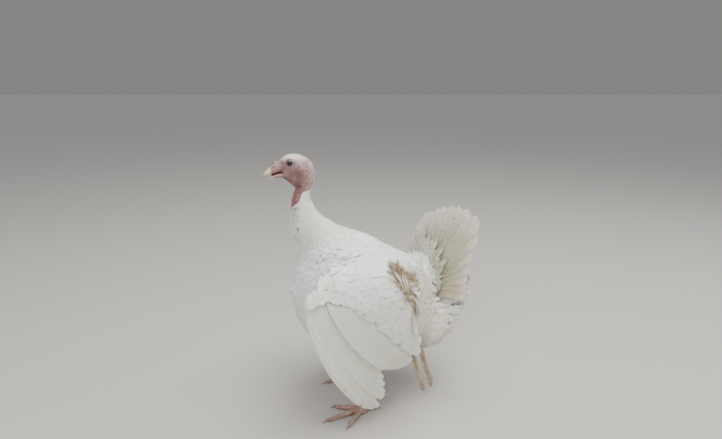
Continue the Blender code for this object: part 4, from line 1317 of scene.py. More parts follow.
def fan_feathers(count, root, mid, tip, widths, place, step, seed, **kw):
    """Feathers of a fan, each in its own place between its neighbours."""
    rng = np.random.default_rng(seed)
    at = lambda u: Line2(np.asarray(root(u)), np.asarray(mid(u)), np.asarray(tip(u)))
    lines = [at((i + 0.5) / count) for i in range(count)]
    e = np.linspace(0, 1, 400)
    out = []
    for i, path in enumerate(lines):
        h = 0.5 / count
        a = at(max((i + 0.5) / count - h, 0.0))
        b = at(min((i + 0.5) / count + h, 1.0))
        pa, pb = a.at(e, 0 * e), b.at(e, 0 * e)
        gap = np.maximum(np.linalg.norm(pb - pa, axis=1), 0.002)
        u = (i + 0.5) / count

        def wide(s, side, gap=gap, u=u, path=path):
            base, cap, tip_len, over, point = (*widths(u, side), 2.0)[:5]
            w = np.clip(over * np.interp(s, e, gap), base, cap)
            w = w * smooth(-0.02, 0.14, s)
            k = np.clip((s - 1 + tip_len / path.L) / (tip_len / path.L), 0, 1)
            return w * np.sqrt(np.clip(1 - k ** point, 0, 1)) ** 0.9

        def here(p, depth, u=u):
            return place(p, depth, u)
        jit = {k: v for k, v in kw.items()}
        out.append(flight_feather(path, wide, gap, here, step, rng, **jit))
    return out


def make_wing_feathers(side):
    w, sx = WINGS[side], (1 if side == "left" else -1)
    tabs = {k: line(w[k]) for k in ("primary_mid", "primary_tip",
                                    "secondary_mid", "secondary_tip")}

    def root(key, drop):
        a, b = w[key]
        return lambda u: along(w["L"], a + (b - a) * u)[0] - (0, drop) \
            if np.ndim(along(w["L"], a)) > 1 \
            else along(w["L"], a + (b - a) * u) - (0, drop)

    def read(key):
        return lambda u: along(tabs[key], u).reshape(-1)[:2]

    def hand(p, depth, u):
        x = wing_x(w, p[..., 0], p[..., 1]) - 0.0078 - depth - 0.004 * u
        return np.stack([sx * x, p[..., 0], p[..., 1]], -1)

    def arm(p, depth, u):
        x = wing_x(w, p[..., 0], p[..., 1]) - 0.0040 - 0.8 * depth
        return np.stack([sx * x, p[..., 0], p[..., 1]], -1)

    seed = 70 if side == "left" else 80
    prim = fan_feathers(7, root("primary_root", 0.0), read("primary_mid"),
                        read("primary_tip"),
                        lambda u, s: (0.0045, 0.018, 0.052,
                                      0.56 if s > 0 else 0.74, 1.35),
                        hand, 0.0027, seed, rows=36, splits=0.9)
    sec = fan_feathers(11, root("secondary_root", 0.0), read("secondary_mid"),
                       read("secondary_tip"),
                       lambda u, s: (0.0060, 0.018, 0.022, 0.80),
                       arm, 0.0018, seed + 1, rows=28, splits=0.5, thick=0.0009)
    r = np.random.default_rng(seed + 2)
    shade = r.normal(0, 1, 30)

    def tone(co, uv, which, s, shaft):
        c = mix(WHITE * 0.93, CREAM * 0.95, np.clip(0.66 + 0.22 * shade[which]
                                             + 0.20 * noise_of(co, 0.05, 41), 0, 1))
        c = mix(c, DUSK, np.clip(0.45 * smooth(0.55, 1.0, s)
                                 + 0.16 * noise_of(co, 0.02, 42), 0, 0.7))
        streak = np.sin(uv[:, 1] * 2.3 + 1.7 * shade[which]) \
            * np.sin(uv[:, 0] * 3.1 + shade[which])
        c = mix(c, STRAW, np.clip(0.28 + 0.32 * streak, 0, 0.55) * smooth(0.15, 0.7, s))
        # painted shade: each feather darker towards the side its neighbour covers, and a little
        # at its other edge
        c = c * (1 - 0.13 * smooth(-0.2, -1.3, uv[:, 0]) - 0.05
                 * smooth(0.3, 1.0, uv[:, 0]))[:, None]
        y, z = co[:, 1], co[:, 2]
        stain = np.exp(-((y - 0.030) / 0.030) ** 2 - ((z - 0.165) / 0.022) ** 2)
        if side == "left":
            c = mix(c, OCHRE, 0.42 * stain)
        return mix(c, np.array([0.80, 0.755, 0.64]), 0.8 * shaft)
    a = feather_set("flight_primaries_" + side, prim, tone,
                    ["primaries_" + side])
    b = feather_set("flight_secondaries_" + side, sec, tone,
                    ["secondaries_" + side])
    return a, b


def make_tail_feathers():
    def angle(u):
        return math.radians(TAIL_FROM + (TAIL_TO - TAIL_FROM) * u)

    def polar(u, r):
        return np.array([r * math.sin(angle(u)), r * math.cos(angle(u))])

    def length(u):
        return float(TL(math.degrees(angle(u)))[0])

    def place(p, depth, u):
        return tail_point(np.hypot(p[..., 0], p[..., 1]),
                          np.arctan2(p[..., 0], p[..., 1]), depth)
    r = np.random.default_rng(90)
    jit = r.normal(0, 1, TAIL_FEATHERS + 2)

    def tipped(u):
        i = min(int(u * TAIL_FEATHERS), TAIL_FEATHERS - 1)
        return polar(min(max(u + 0.006 * jit[i], 0), 1),
                     length(u) - 0.0035 * abs(jit[i + 1]))
    fs = fan_feathers(TAIL_FEATHERS, lambda u: polar(u, TAIL_ROOT_R),
                      lambda u: polar(u, 0.5 * (TAIL_ROOT_R + length(u))),
                      tipped,
                      lambda u, s: (0.0050, 0.0225, 0.024, 0.86),
                      place, 0.0021, 91, rows=44, splits=0.8, thick=0.0010,
                      shaft=0.0017, camber=0.0010)
    shade = r.normal(0, 1, 40)

    def tone(co, uv, which, s, shaft):
        c = mix(CREAM, STRAW, np.clip(0.62 + 0.25 * shade[which]
                                      + 0.35 * noise_of(co, 0.045, 51), 0, 1)) * 0.90
        c = mix(c, WHITE * 0.95, np.clip(0.62 * smooth(0.55, 0.95, s)
                                         + 0.15 * noise_of(co, 0.03, 52), 0, 1))
        rays = np.sin(uv[:, 0] * 7.0 + 2.4 * shade[which]
                      + 0.8 * np.sin(uv[:, 1] * 0.7)) \
            * np.sin(uv[:, 1] * 0.35 + 3 * shade[which + 1])
        c = mix(c, OCHRE, np.clip(0.16 + 0.52 * rays, 0, 0.6) * (1 - 0.55 * s))
        c = mix(c, DUSK * 0.85, np.clip(0.25 * noise_of(co, 0.016, 53), 0, 0.3))
        edge = (which == 6) | (which == 7)
        c = mix(c, OCHRE, 0.35 * edge * np.exp(-((uv[:, 0] + 0.6) / 0.7) ** 2)
                * smooth(0.1, 0.3, s) * smooth(0.85, 0.6, s))
        c = mix(c, STRAW, 0.22) * (0.66 + 0.20 * smooth(0.60, 0.97, s))[:, None]
        return mix(c, np.array([0.70, 0.62, 0.47]), 0.85 * shaft)
    return feather_set("flight_tail", fs, tone, ["tail_rectrices"])


def make_loose():
    """Two worn feathers that hang below the rear flank."""
    out = []
    for k, (node, (a, b)) in enumerate(LOOSE.items()):
        a, b = np.array(a), np.array(b)
        rng = np.random.default_rng(60 + k)
        L = np.linalg.norm(b - a)
        d = (b - a) / L
        side = unit(np.cross(d, [1.0, 0, 0]))
        path = Line2(np.array([0.0, 0.0]), np.array([0.004, 0.5 * L]),
                     np.array([0.0, 0.99 * L]))
        e = np.linspace(0, 1, 400)

        def wide(s, sd, L=L):
            w = 0.0066 + 0.0008 * np.sin(9 * s + sd)
            return w * np.sqrt(np.clip(1 - np.clip((s - 0.86) / 0.14, 0, 1) ** 2.4, 0, 1))

        def place(p, depth, a=a, d=d, side=side):
            bow = 0.004 * np.sin(math.pi * np.clip(p[..., 1] / 0.125, 0, 1))
            return (a + side * p[..., 0:1] + d * p[..., 1:2]
                    + np.array([1.0, 0, 0]) * (bow - depth)[..., None])
        f = flight_feather(path, wide, 0 * e + 0.02, place, 0.0, rng, rows=26,
                           cols=3, first=0.02, splits=2.5, wear=2.6,
                           thick=0.0009, shaft=0.0011, camber=0.0012)

        def tone(co, uv, which, s, shaft):
            c = mix(srgb(176, 164, 144), srgb(140, 126, 104),
                    np.clip(0.5 + 0.5 * noise_of(co, 0.03, 61), 0, 1))
            c = mix(c, srgb(104, 88, 68), 0.5 * smooth(0.7, 1.0, s))
            return mix(c, srgb(120, 104, 80), 0.7 * shaft)
        out.append(feather_set("worn_" + node, [f], tone, [node]))
    return out


# ------------------------------------------------------- head: bill and eyes
def bill_piece(name, node, table, upper):
    f = np.concatenate([np.linspace(table[0][0], table[-1][0] - 1.2, 46),
                        table[-1][0] - np.array([0.7, 0.3, 0.08])])
    n = 40
    k = np.arange(n) / n * 2 * math.pi
    rings = []
    for fi in f:
        top, bot, w = (float(v[0]) for v in curve(table, fi).T)
        end = table[-1][0]
        close = math.sqrt(max(1 - max(fi - (end - 2.0), 0) ** 2 / 4.0, 0.002))
        mid, h = 0.5 * (top + bot), 0.5 * (top - bot) * close
        w *= close
        c, s = np.cos(k), np.sin(k)
        if upper:
            x = w * np.sign(c) * np.abs(c) ** 0.85 * (1 - 0.16 * np.clip(s, 0, 1))
            z = mid + h * np.where(s > 0, np.abs(s) ** 1.05,
                                   -np.abs(s) ** 0.55 + 0.32 * (1 - np.abs(c)) ** 1.0)
            z = z + 0.35 * np.exp(-(x / 0.9) ** 2) * (s > 0) * close
        else:
            x = w * np.sign(c) * np.abs(c) ** 0.85 * (1 - 0.16 * np.clip(-s, 0, 1))
            z = mid + h * np.where(s < 0, -np.abs(s) ** 1.05,
                                   np.abs(s) ** 0.55 - 0.34 * (1 - np.abs(c)) ** 1.0)
        rings.append(from_head(fi + 0 * x, x, z))
    co, q, t = lofted(rings)
    q, t = outward(co, q, t)
    ob = make(name, co, [q, t])
    F, X, Z = to_head(*co.T)
    n = noise_of(np.stack([F, X * 2, Z * 2], -1), 9.0, 71)
    end = table[-1][0]
    c = mix(srgb(214, 178, 164), srgb(224, 210, 178), smooth(end - 20, end - 9, F)
            * np.ones(len(F)))
    c = mix(c, srgb(176, 172, 138), 0.85 * smooth(end - 9, end - 1.5, F))
    if upper:
        edge = np.exp(-((Z - curve(table, F)[:, 1] - 0.4) / 1.0) ** 2)
        c = mix(c, srgb(230, 200, 184), 0.6 * edge)
        c = mix(c, srgb(186, 156, 146), 0.5 * np.exp(-(X / 1.8) ** 2)
                * smooth(end - 6, end - 16, F) * (Z > -18))
    c = 0.82 * c * (1 + 0.07 * n)[:, None]
    colour(ob, c)
    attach(ob, "root")
    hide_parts(node)
    return ob


def make_eye(side):
    sx = 1 if side == "left" else -1
    pol = np.concatenate([np.linspace(0.02, 0.95, 34), np.linspace(1.0, 3.10, 22)])
    n = 48
    k = np.arange(n) / n * 2 * math.pi
    rings, tone = [], []
    for p in pol:
        r = EYE_R
        if p < 0.66:                                       # cornea
            r = r + 0.75 * (math.cos(p * math.pi / 0.66) + 1) / 2
        rings.append(from_head(EYE_F + r * math.sin(p) * np.cos(k),
                               sx * (EYE_OUT + r * math.cos(p)) + 0 * k,
                               EYE_Z + r * math.sin(p) * np.sin(k)))
        rad = EYE_R * math.sin(p)
        rays = 1 + 0.18 * np.sin(k * 17 + 1.3 * np.sin(k * 5)) * (rad > 2.4)
        iris = srgb(26, 16, 11)
        c = iris[None] * rays[:, None]
        c = mix(c, srgb(12, 8, 6), smooth(2.9, 2.5, rad) + 0 * k)
        c = mix(c, srgb(24, 15, 12), smooth(4.0, 5.0, rad) + 0 * k)
        tone.append(c)
    co, q, t = lofted(rings)
    q, t = outward(co, q, t)
    ob = make("eyeball_" + side, co, [q, t])
    tone = np.concatenate(tone + [srgb(8, 6, 5)[None], srgb(24, 15, 12)[None]])
    colour(ob, tone)
    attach(ob, "root")
    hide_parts("eye_" + side)
    return ob


# --------------------------------------------------------------------- legs
def scaly_tube(centre, dirs, side, fore, radii, scale):
    """Rings round a path, with raised scales from scale(s, angle) in metres."""
    n = 56
    k = np.arange(n) / n * 2 * math.pi
    c, s = np.cos(k), np.sin(k)
    d = scale(dirs[:, None], k[None])
    rs = radii[:, 0:1] + d
    rf = radii[:, 1:2] + d
    return centre[:, None] + side[:, None] * (rs * c)[..., None] \
        + fore[:, None] * (rf * s)[..., None]


def make_leg(side_name):
    sx = 1 if side_name == "left" else -1
    hip, hock, foot = (np.array(p) for p in LEGS[side_name])
    top, low = hock + (0, 0.002, 0.008), foot + (0, 0, 0.010)
    length = np.linalg.norm(low - top)
    ax = (low - top) / length
    m = 132
    t = np.linspace(0, 1, m)
    rs = np.interp(t, [0, .10, .17, .30, .44, .72, .92, 1],
                   [.0085, .0104, .0110, .0088, .0071, .0070, .0098, .0128])
    rf = np.interp(t, [0, .10, .17, .30, .44, .72, .92, 1],
                   [.0095, .0120, .0130, .0100, .0082, .0079, .0094, .0128])
    rs = np.convolve(np.pad(rs, 6, mode="edge"), np.ones(13) / 13, "valid")
    rf = np.convolve(np.pad(rf, 6, mode="edge"), np.ones(13) / 13, "valid")
    side = unit(np.array([1.0, 0, 0]) - ax * ax[0])
    fore = np.cross(side, ax)
    if fore[1] > 0:
        fore = -fore
    wob = np.random.default_rng(7 + sx)
    ph = wob.uniform(0, 6.28, 6)

    def scutes(s, a):
        """Two rows of plates down the front, small scales behind."""
        z = s * length
        front = np.cos(a - math.pi / 2)                # 1 at the front line
        col = np.where(np.sin(a - math.pi / 2) > 0, 0.5, 0.0)
        pitch = 0.0056
        u = (z / pitch + col + 0.10 * np.sin(z * 160 + ph[0])) % 1.0
        big = 0.00062 * (u ** 0.7) * smooth(0, 0.10, 1 - u) \
            - 0.00030 * np.exp(-((u) / 0.07) ** 2)
        big = big - 0.00045 * np.exp(-((a - math.pi / 2) / 0.05) ** 2) * (front > 0.5)
        v = a * 9 / (2 * math.pi) * 2
        w = z / 0.0027
        row = np.floor(w)
        du = (v + 0.5 * (row % 2)) % 1.0 - 0.5
        dw = w % 1.0 - 0.5
        small = 0.00042 * np.clip(1 - 3.4 * (du ** 2 + dw ** 2), -0.25, 1)
        return np.where(front > -0.12, big, small) * smooth(0.0, 0.06, s)
    centre = top[None] + ax[None] * (t * length)[:, None]
    rings = scaly_tube(centre, t, np.repeat(side[None], m, 0),
                       np.repeat(fore[None], m, 0), np.stack([rs, rf], -1), scutes)
    rings[..., 2] = np.maximum(rings[..., 2], 0.0)
    groups = [lofted(rings)]
    pad = []
    kk = np.arange(56) / 56 * 2 * math.pi
    for z, r in ((0.0150, 0.0095), (0.0125, 0.0128), (0.0090, 0.0146),
                 (0.0050, 0.0146), (0.0020, 0.0140), (0.0, 0.0128)):
        rr = r + 0.0003 * np.sin(kk * 14 + z * 900)
        pad.append(np.stack([foot[0] + rr * np.cos(kk), foot[1] + rr * np.sin(kk),
                             z + 0 * kk], -1))
    groups.append(lofted(pad))
    claws = []
    for toe, (degrees, tl) in TOES.items():
        ang = math.radians(degrees) * sx
        ahead = np.array([math.sin(ang), -math.cos(ang), 0.0])
        lat = np.array([-ahead[1], ahead[0], 0.0])
        w0 = 0.0066 if toe != "hind" else 0.0056
        m = int(tl / 0.0006)
        t = np.linspace(0, 1, m)
        joints = {"middle": 3, "outer": 4, "inner": 2, "hind": 1}[toe]
        bulge = 0.08 * np.cos(2 * math.pi * joints * (t ** 1.05))
        w = w0 * (1 - 0.34 * t) * (1 + bulge)
        h = (0.0134 - 0.0050 * t) * (1 + 0.6 * bulge)
        close = np.sqrt(np.clip(1 - (np.clip(t - 0.93, 0, 1) / 0.07) ** 2, 0.04, 1))
        w, h = w * close, h * (0.55 + 0.45 * close)
        r = 0.004 + (tl + 0.0008 - 0.004) * t
        n = 40
        k = np.arange(n) / n * 2 * math.pi
        c, s = np.cos(k), np.sin(k)
        z = r[:, None]
        pitch = 0.0034 if toe != "hind" else 0.0030
        u = (z / pitch + 0.10 * np.sin(z * 300 + ph[1])) % 1.0
        plate_ = 0.00055 * u ** 0.7 * smooth(0, 0.12, 1 - u) \
            - 0.00022 * np.exp(-(u / 0.08) ** 2)
        v = k[None] * 11 / math.pi
        row = np.floor(z / 0.0021)
        du = (v + 0.5 * (row % 2)) % 1.0 - 0.5
        dw = (z / 0.0021) % 1.0 - 0.5
        small = 0.00030 * np.clip(1 - 3.4 * (du ** 2 + dw ** 2), -0.25, 1)
        d = np.where(s[None] > 0.30, plate_, small)
        x = (w[:, None] + d) * np.sign(c) * np.abs(c) ** 0.9
        zz = 0.5 * h[:, None] + (0.5 * h[:, None] + d) * np.sign(s) * np.abs(s) ** 0.9
        zz = np.maximum(zz, 0.0)
        ring = (foot[None, None] + ahead * r[:, None, None]
                + lat * x[..., None] + np.array([0, 0, 1.0]) * zz[..., None])
        groups.append(lofted(ring))
        # claw
        cl = 0.0165 if toe != "hind" else 0.0135
        m = 26
        t = np.linspace(0, 1, m)
        rad = 0.0036 * (1 - t) ** 0.62 + 0.00022
        zc = 0.0056 * (1 - t ** 1.8) + 0.0006
        rr = tl - 0.0022 + cl * t
        n = 20
        k = np.arange(n) / n * 2 * math.pi
        x = rad[:, None] * 0.74 * np.cos(k)
        zz = np.maximum(zc[:, None] + rad[:, None] * np.sin(k), 0.0002)
        ring = (foot[None, None] + ahead * rr[:, None, None]
                + lat * x[..., None] + np.array([0, 0, 1.0]) * zz[..., None])
        claws.append(lofted(ring))

    def join(gs, name):
        co, qs, ts, off = [], [], [], 0
        for c_, q, t_ in gs:
            q, t_ = outward(c_, q, t_)
            co.append(c_)
            qs.append(q + off)
            ts.append(t_ + off)
            off += len(c_)
        return make(name, np.concatenate(co), [np.concatenate(qs),
                                               np.concatenate(ts)]), \
            np.concatenate(co)
    leg, P = join(groups, "leg_" + side_name)
    n = noise_of(P, 0.020, 81)
    m_ = noise_of(P, 0.006, 82)
    c = mix(srgb(176, 146, 134), srgb(150, 118, 106), np.clip(0.5 + 0.6 * n, 0, 1))
    c = mix(c, srgb(196, 160, 148), np.clip(0.4 * m_, 0, 0.4))
    c = mix(c, srgb(112, 94, 80), 0.55 * smooth(0.012, 0.001, P[:, 2]))
    c = mix(c, srgb(120, 98, 84), 0.35 * smooth(0.05, 0.01, P[:, 2])
            * np.clip(0.5 + 0.5 * n, 0, 1))
    colour(leg, c)
    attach(leg, "root")
    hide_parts("shank_" + side_name,
                *["toe_%s_%s" % (toe, side_name) for toe in TOES])
    claw, P = join(claws, "claws_" + side_name)
    n = noise_of(P, 0.008, 83)
    colour(claw, mix(srgb(150, 132, 116), srgb(92, 78, 68),
                     np.clip(0.5 + 0.5 * n, 0, 1)))
    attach(claw, "root")
    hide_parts(*["claw_%s_%s" % (toe, side_name) for toe in TOES])
    return leg, claw


# ---------------------------------------------------------------- the coat
def bare_limit(P):
    phi = np.degrees(np.arctan2(np.abs(P[:, 0]),
                                -(P[:, 1] - np.interp(P[:, 2], NL.v[:, 1], NL.v[:, 0]))))
    return BE(phi)[0]


def make_body_coat(body, head, combo):
    (bc, bq), (hc, hq) = body, head
    P = scatter(bc, bq, 230000, 11)
    P = P[P[:, 2] < 0.484]
    Q = scatter(hc, hq, 150000, 12)
    Q = Q[(Q[:, 2] >= 0.484) & (Q[:, 2] < 0.535)]
    Q = Q[Q[:, 2] < bare_limit(Q) - 0.0006]
    R = np.concatenate([P, Q])
    x, y, z = R.T
    up = smooth(0.385, 0.505, z) * smooth(0.02, -0.05, y)
    leg = smooth(0.168, 0.145, z) * smooth(0.11, 0.09, y) * (np.abs(x) > 0.02)
    rump = smooth(0.0, 0.010, rump_zone(R))
    front = smooth(-0.05, -0.12, y) * (1 - up)
    near = smooth(0.004, 0.020, bare_limit(R) - z)       # short at the bare edge
    gap = 0.0066 - 0.0006 * front - 0.0040 * up - 0.0018 * leg - 0.0020 * rump
    gap = np.where(z > 0.484, np.minimum(gap, 0.0019 + 0.0009 * near), gap)
    keep = thin_out(R, gap, 13)
    R, up, leg, rump, front, near = (v[keep] for v in (R, up, leg, rump, front, near))
    x, y, z = R.T
    # places hidden deep under wing or tail; the lowest rows of the wing are apart
    wing, _, low = wing_share(R)
    deep = combo(R)[0] < -(coat_depth(R) + 0.006 + 0.012 * wing)
    rows = (wing > 0.4) & (low < 0.030)
    r, a, back = tail_space(R)
    th, v = rump_thickness(r, a)
    on_fan = (r < 0.125) & (back < 0.002) & (back > -0.7 * th - 0.004) \
        & (np.abs(a) < 1.35) & (r > 0.03)
    ok = ~(deep | rows | on_fan)
    R, up, leg, rump, front, near, wing = (
        v[ok] for v in (R, up, leg, rump, front, near, wing))
    x, y, z = R.T
    N = len(R)
    rng = np.random.default_rng(14)
    plume = rump * smooth(0.03, 0.07, x) * smooth(0.08, 0.11, y) \
        * smooth(0.17, 0.21, z)
    L = 0.038 - 0.005 * front - 0.021 * up - 0.014 * leg + 0.022 * rump \
        + 0.016 * plume
    L = np.where(z > 0.484, np.minimum(L, 0.0055 + 0.0075 * near), L)
    W = 0.0102 - 0.0008 * front - 0.0060 * up - 0.0036 * leg - 0.0050 * rump
    W = np.where(z > 0.484, np.minimum(W, 0.0018 + 0.0020 * near), W)
    L, W = L * rng.uniform(0.86, 1.14, N), W * rng.uniform(0.88, 1.12, N)
    n = unit(combo(R)[1])
    lie = lie_field(R, n)
    lie = turn(unit(lie - np.sum(lie * n, -1, keepdims=True) * n), n,
               rng.normal(0, 0.09 + 0.16 * rump, N) + 0.20 * noise_of(R, 0.05, 15))
    edge = np.exp(-((rump_zone(R) + 0.012) / 0.010) ** 2)   # ragged rear edge
    lift = 0.0003 * rng.random(N) + (0.0025 + 0.0065 * smooth(0.02, 0.06, x)
                                         * smooth(0.18, 0.15, y)
                                         + 0.012 * plume) * rump * rng.random(N) \
        + 0.0008 * leg * rng.random(N) - 0.0002 * up \
        + 0.0022 * edge * rng.random(N)
    L = L * (1 + 0.45 * edge * rng.random(N))
    W = W * (1 - 0.25 * edge)
    stray = rng.random(N) < 0.03
    lift = lift + stray * rng.uniform(0.0006, 0.0022, N) * (1 - up)
    verts, uu, vv, face = lay_on_body(
        R, lie, L, W, rng, lift=lift, field=combo, rag=0.035,
        bend=0.12 + 0.12 * rump, thick=0.00030 - 0.00010 * up)
    tone = plume_tone(np.broadcast_to(R[:, None], verts.shape) * 0.35 + verts * 0.65)
    tone = tone * np.clip(1 + (0.018 + 0.045 * rump) * rng.normal(size=N),
                          0.85, 1.06)[:, None, None]
    tone = mix(tone, WHITE, 0.75 * plume[:, None] * np.clip(rng.random((N, 1)) + 0.2, 0, 1))
    # painted shade: each vane a little darker towards its root, under the feathers lying over
    # it
    tone = tone * (1 - 0.06 * (1 - vv) ** 2)[..., None]
    part = np.where(up > 0.5, 0, np.where(leg > 0.5, 1, np.where(
        rump > 0.5, 2, np.where(wing > 0.4, np.where(x > 0, 5, 6), np.where(
            (y < -0.045) | (z < 0.205), 3, 4)))))
    names = ["coat_neck", "coat_thighs", "coat_vent", "coat_breast", "coat_back",
             "coat_wing_left", "coat_wing_right"]
    poles = [None, ((0, 0.05, 0.15), (0, 0, -1)), ((0, 0.12, 0.25), (0, 1, 0.2)),
             ((0, 0, 0.27), (0, -1, -0.6)), ((0, 0, 0.27), (0, 0.3, 1)),
             ((0, -0.04, 0.28), (1, 0, 0.2)), ((0, 0.0, 0.28), (-1, 0, 0.2))]
    hides = [["neck"], [], ["tail_coverts_under"], [], ["trunk"], ["wing_left"],
             ["wing_right"]]
    obs = []
    for k, nm in enumerate(names):
        m = part == k
        if k == 0:
            uvr = np.stack([np.arctan2(R[m, 0], -(R[m, 1] + 0.10)),
                            R[m, 2] * 12], -1)
        else:
            uvr = azimuthal(R[m], *poles[k])
        got = coat(nm, verts[m], uu[m], vv[m], L[m], W[m], uvr, tone[m],
                   face[m], soft=0.55 if nm == "coat_vent" else 0.84)
        for ob in got:
            if hides[k]:
                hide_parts(*hides[k])
        obs += got
        print(nm, int(m.sum()), "feathers", int(m.sum()) * VANE_TRIS, "triangles")
    return obs


def make_wing_coat(side, combo):
    w, sx = WINGS[side], (1 if side == "left" else -1)
    rng = np.random.default_rng(31 if side == "left" else 32)

    def place(q, dep):
        y, z = q[..., 0], q[..., 1]
        e = 0.002
        x = sheet_x(w, y, z)
        gy = (sheet_x(w, y + e, z) - sheet_x(w, y - e, z)) / (2 * e)
        gz = (sheet_x(w, y, z + e) - sheet_x(w, y, z - e)) / (2 * e)
        n = np.sqrt(1 + gy ** 2 + gz ** 2)
        d = dep / n
        return np.stack([sx * (x - d), y + d * gy, z + d * gz], -1)

    low = along(w["L"], np.linspace(0, 1, 200))
    step = np.linalg.norm(np.diff(low, axis=0), axis=1)
    arc = np.concatenate([[0], np.cumsum(step)])
    total = arc[-1]
    tang = unit(np.gradient(low, axis=0))
    out = np.stack([tang[:, 1], -tang[:, 0]], -1)         # away from the wing
    rows = [(0.005, 0.0092, 0.010), (0.010, 0.0100, 0.004), (0.016, 0.0104, 0.003),
            (0.024, 0.0102, 0.003), (0.032, 0.0102, 0.003), (0.038, 0.0100, 0.003)]
    Rt, Ls, Ws, Dp, Dr, Sr = [], [], [], [], [], []
    for k, (d, W, over) in enumerate(rows):
        n = int(total / (W * 0.92))
        s = (np.arange(0, n + 1) + 0.5 * (k % 2)) / n * total
        s = s + rng.normal(0, 0.0008, len(s))
        lo = np.stack([np.interp(s, arc, low[:, c]) for c in (0, 1)], -1)
        t = np.stack([np.interp(s, arc, tang[:, c]) for c in (0, 1)], -1)
        o = np.stack([np.interp(s, arc, out[:, c]) for c in (0, 1)], -1)
        lo = lo + t * (s - np.clip(s, 0, total))[:, None]
        p = s / total
        root = lo - o * d + rng.normal(0, 0.0008, lo.shape)
        g = np.stack([np.interp(p, [0, .35, .7, 1], [0.14, 0.34, 0.58, 0.80]),
                      np.interp(p, [0, .35, .7, 1], [-.98, -.93, -.80, -.66])], -1)
        g = unit(g + rng.normal(0, 0.05, g.shape))
        dot = np.maximum(np.sum(g * o, -1), 0.1)
        Rt.append(root)
        Dr.append(g)
        reach = over * rng.uniform(0.3, 1.5, len(s))
        sure = p > (0.11 if d > 0.02 else 0.03)
        Ls.append(np.clip((d + reach) / dot, 0.022, 0.048))
        Sr.append(sure)
        Ws.append(W * rng.uniform(0.92, 1.08, len(s)))
        Dp.append(np.full(len(s), 0.0050))
    Sr = np.concatenate(Sr)
    Rt, Ls, Ws, Dp, Dr = (np.concatenate(v)[Sr] for v in (Rt, Ls, Ws, Dp, Dr))
    N = len(Rt)
    lift = rng.uniform(-0.0002, 0.0004, N)
    verts, uu, vv, face = lay_on_sheet(place, Rt, Dr, Ls, Ws, rng, depth=Dp,
                                       lift=lift, rag=0.06)
    # roots stay buried in the plumage above them
    F, g = combo(verts.reshape(-1, 3))
    F, g = F.reshape(vv.shape), unit(g).reshape(verts.shape)
    over = np.clip(F + 0.0055 * np.clip(1 - vv, 0, 1) ** 1.3, 0, 0.02) \
        * smooth(0.75, 0.45, vv)
    verts = verts - g * over[..., None]
    # a vane bent too sharply by that is left out
    fit = (over.max(1) < 0.0085) & np.isfinite(verts).all((1, 2))
    verts, uu, vv, face, Rt, Ls, Ws = (
        v[fit] for v in (verts, uu, vv, face, Rt, Ls, Ws))
    N = len(Rt)
    tone = plume_tone(verts)
    tone = mix(tone, CREAM, 0.30)
    tone = tone * np.clip(1 + 0.020 * rng.normal(size=N), 0.9, 1.05)[:, None, None]
    # painted shade: each vane a little darker towards its root, under the feathers lying over
    # it
    tone = tone * (1 - 0.06 * (1 - vv) ** 2)[..., None]
    got = coat("coat_wing_rows_" + side, verts, uu, vv, Ls, Ws, Rt, tone, face)
    for ob in got:
        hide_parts("wing_" + side)
    print("coat_wing_rows", side, N, "feathers")
    return got


def free_vanes(root, lie, face, L, W, rng, sag, thick=0.00030):
    """Loose plumes that stand off the body and droop a little."""
    N = len(root)
    v, u, uw = stations(N, rng, 0.10)
    vv = np.concatenate([np.zeros((N, 1)), v.reshape(N, 24)], 1)
    uu = np.concatenate([np.zeros((N, 1)), uw.reshape(N, 24)], 1)
    d = unit(lie)
    side = unit(np.cross(d, face))
    up = np.cross(side, d)
    bend = rng.normal(0, 0.10, N)
    hh = np.concatenate([[0.0], np.tile(RING_H, 4)]) * thick
    co = (root[:, None] + d[:, None] * (vv * L[:, None])[..., None]
          + side[:, None] * (uu * W[:, None]
                             + bend[:, None] * L[:, None] * vv ** 2)[..., None]
          - up[:, None] * (sag[:, None] * L[:, None] * vv ** 2 - hh)[..., None])
    return co, uu, vv, np.broadcast_to(up[:, None], co.shape).copy()


def spread(co, quads, n, seed):
    """Random places over a mesh with their outward normals."""
    P = scatter(co, quads, n, seed)
    rng = np.random.default_rng(seed)
    a, b, c, d = (co[quads[:, k]] for k in range(4))
    area = 0.5 * (np.linalg.norm(np.cross(b - a, c - a), axis=1)
                  + np.linalg.norm(np.cross(c - a, d - a), axis=1))
    pick = rng.choice(len(quads), n, p=area / area.sum())
    return P, unit(np.cross(c - a, d - b))[pick]


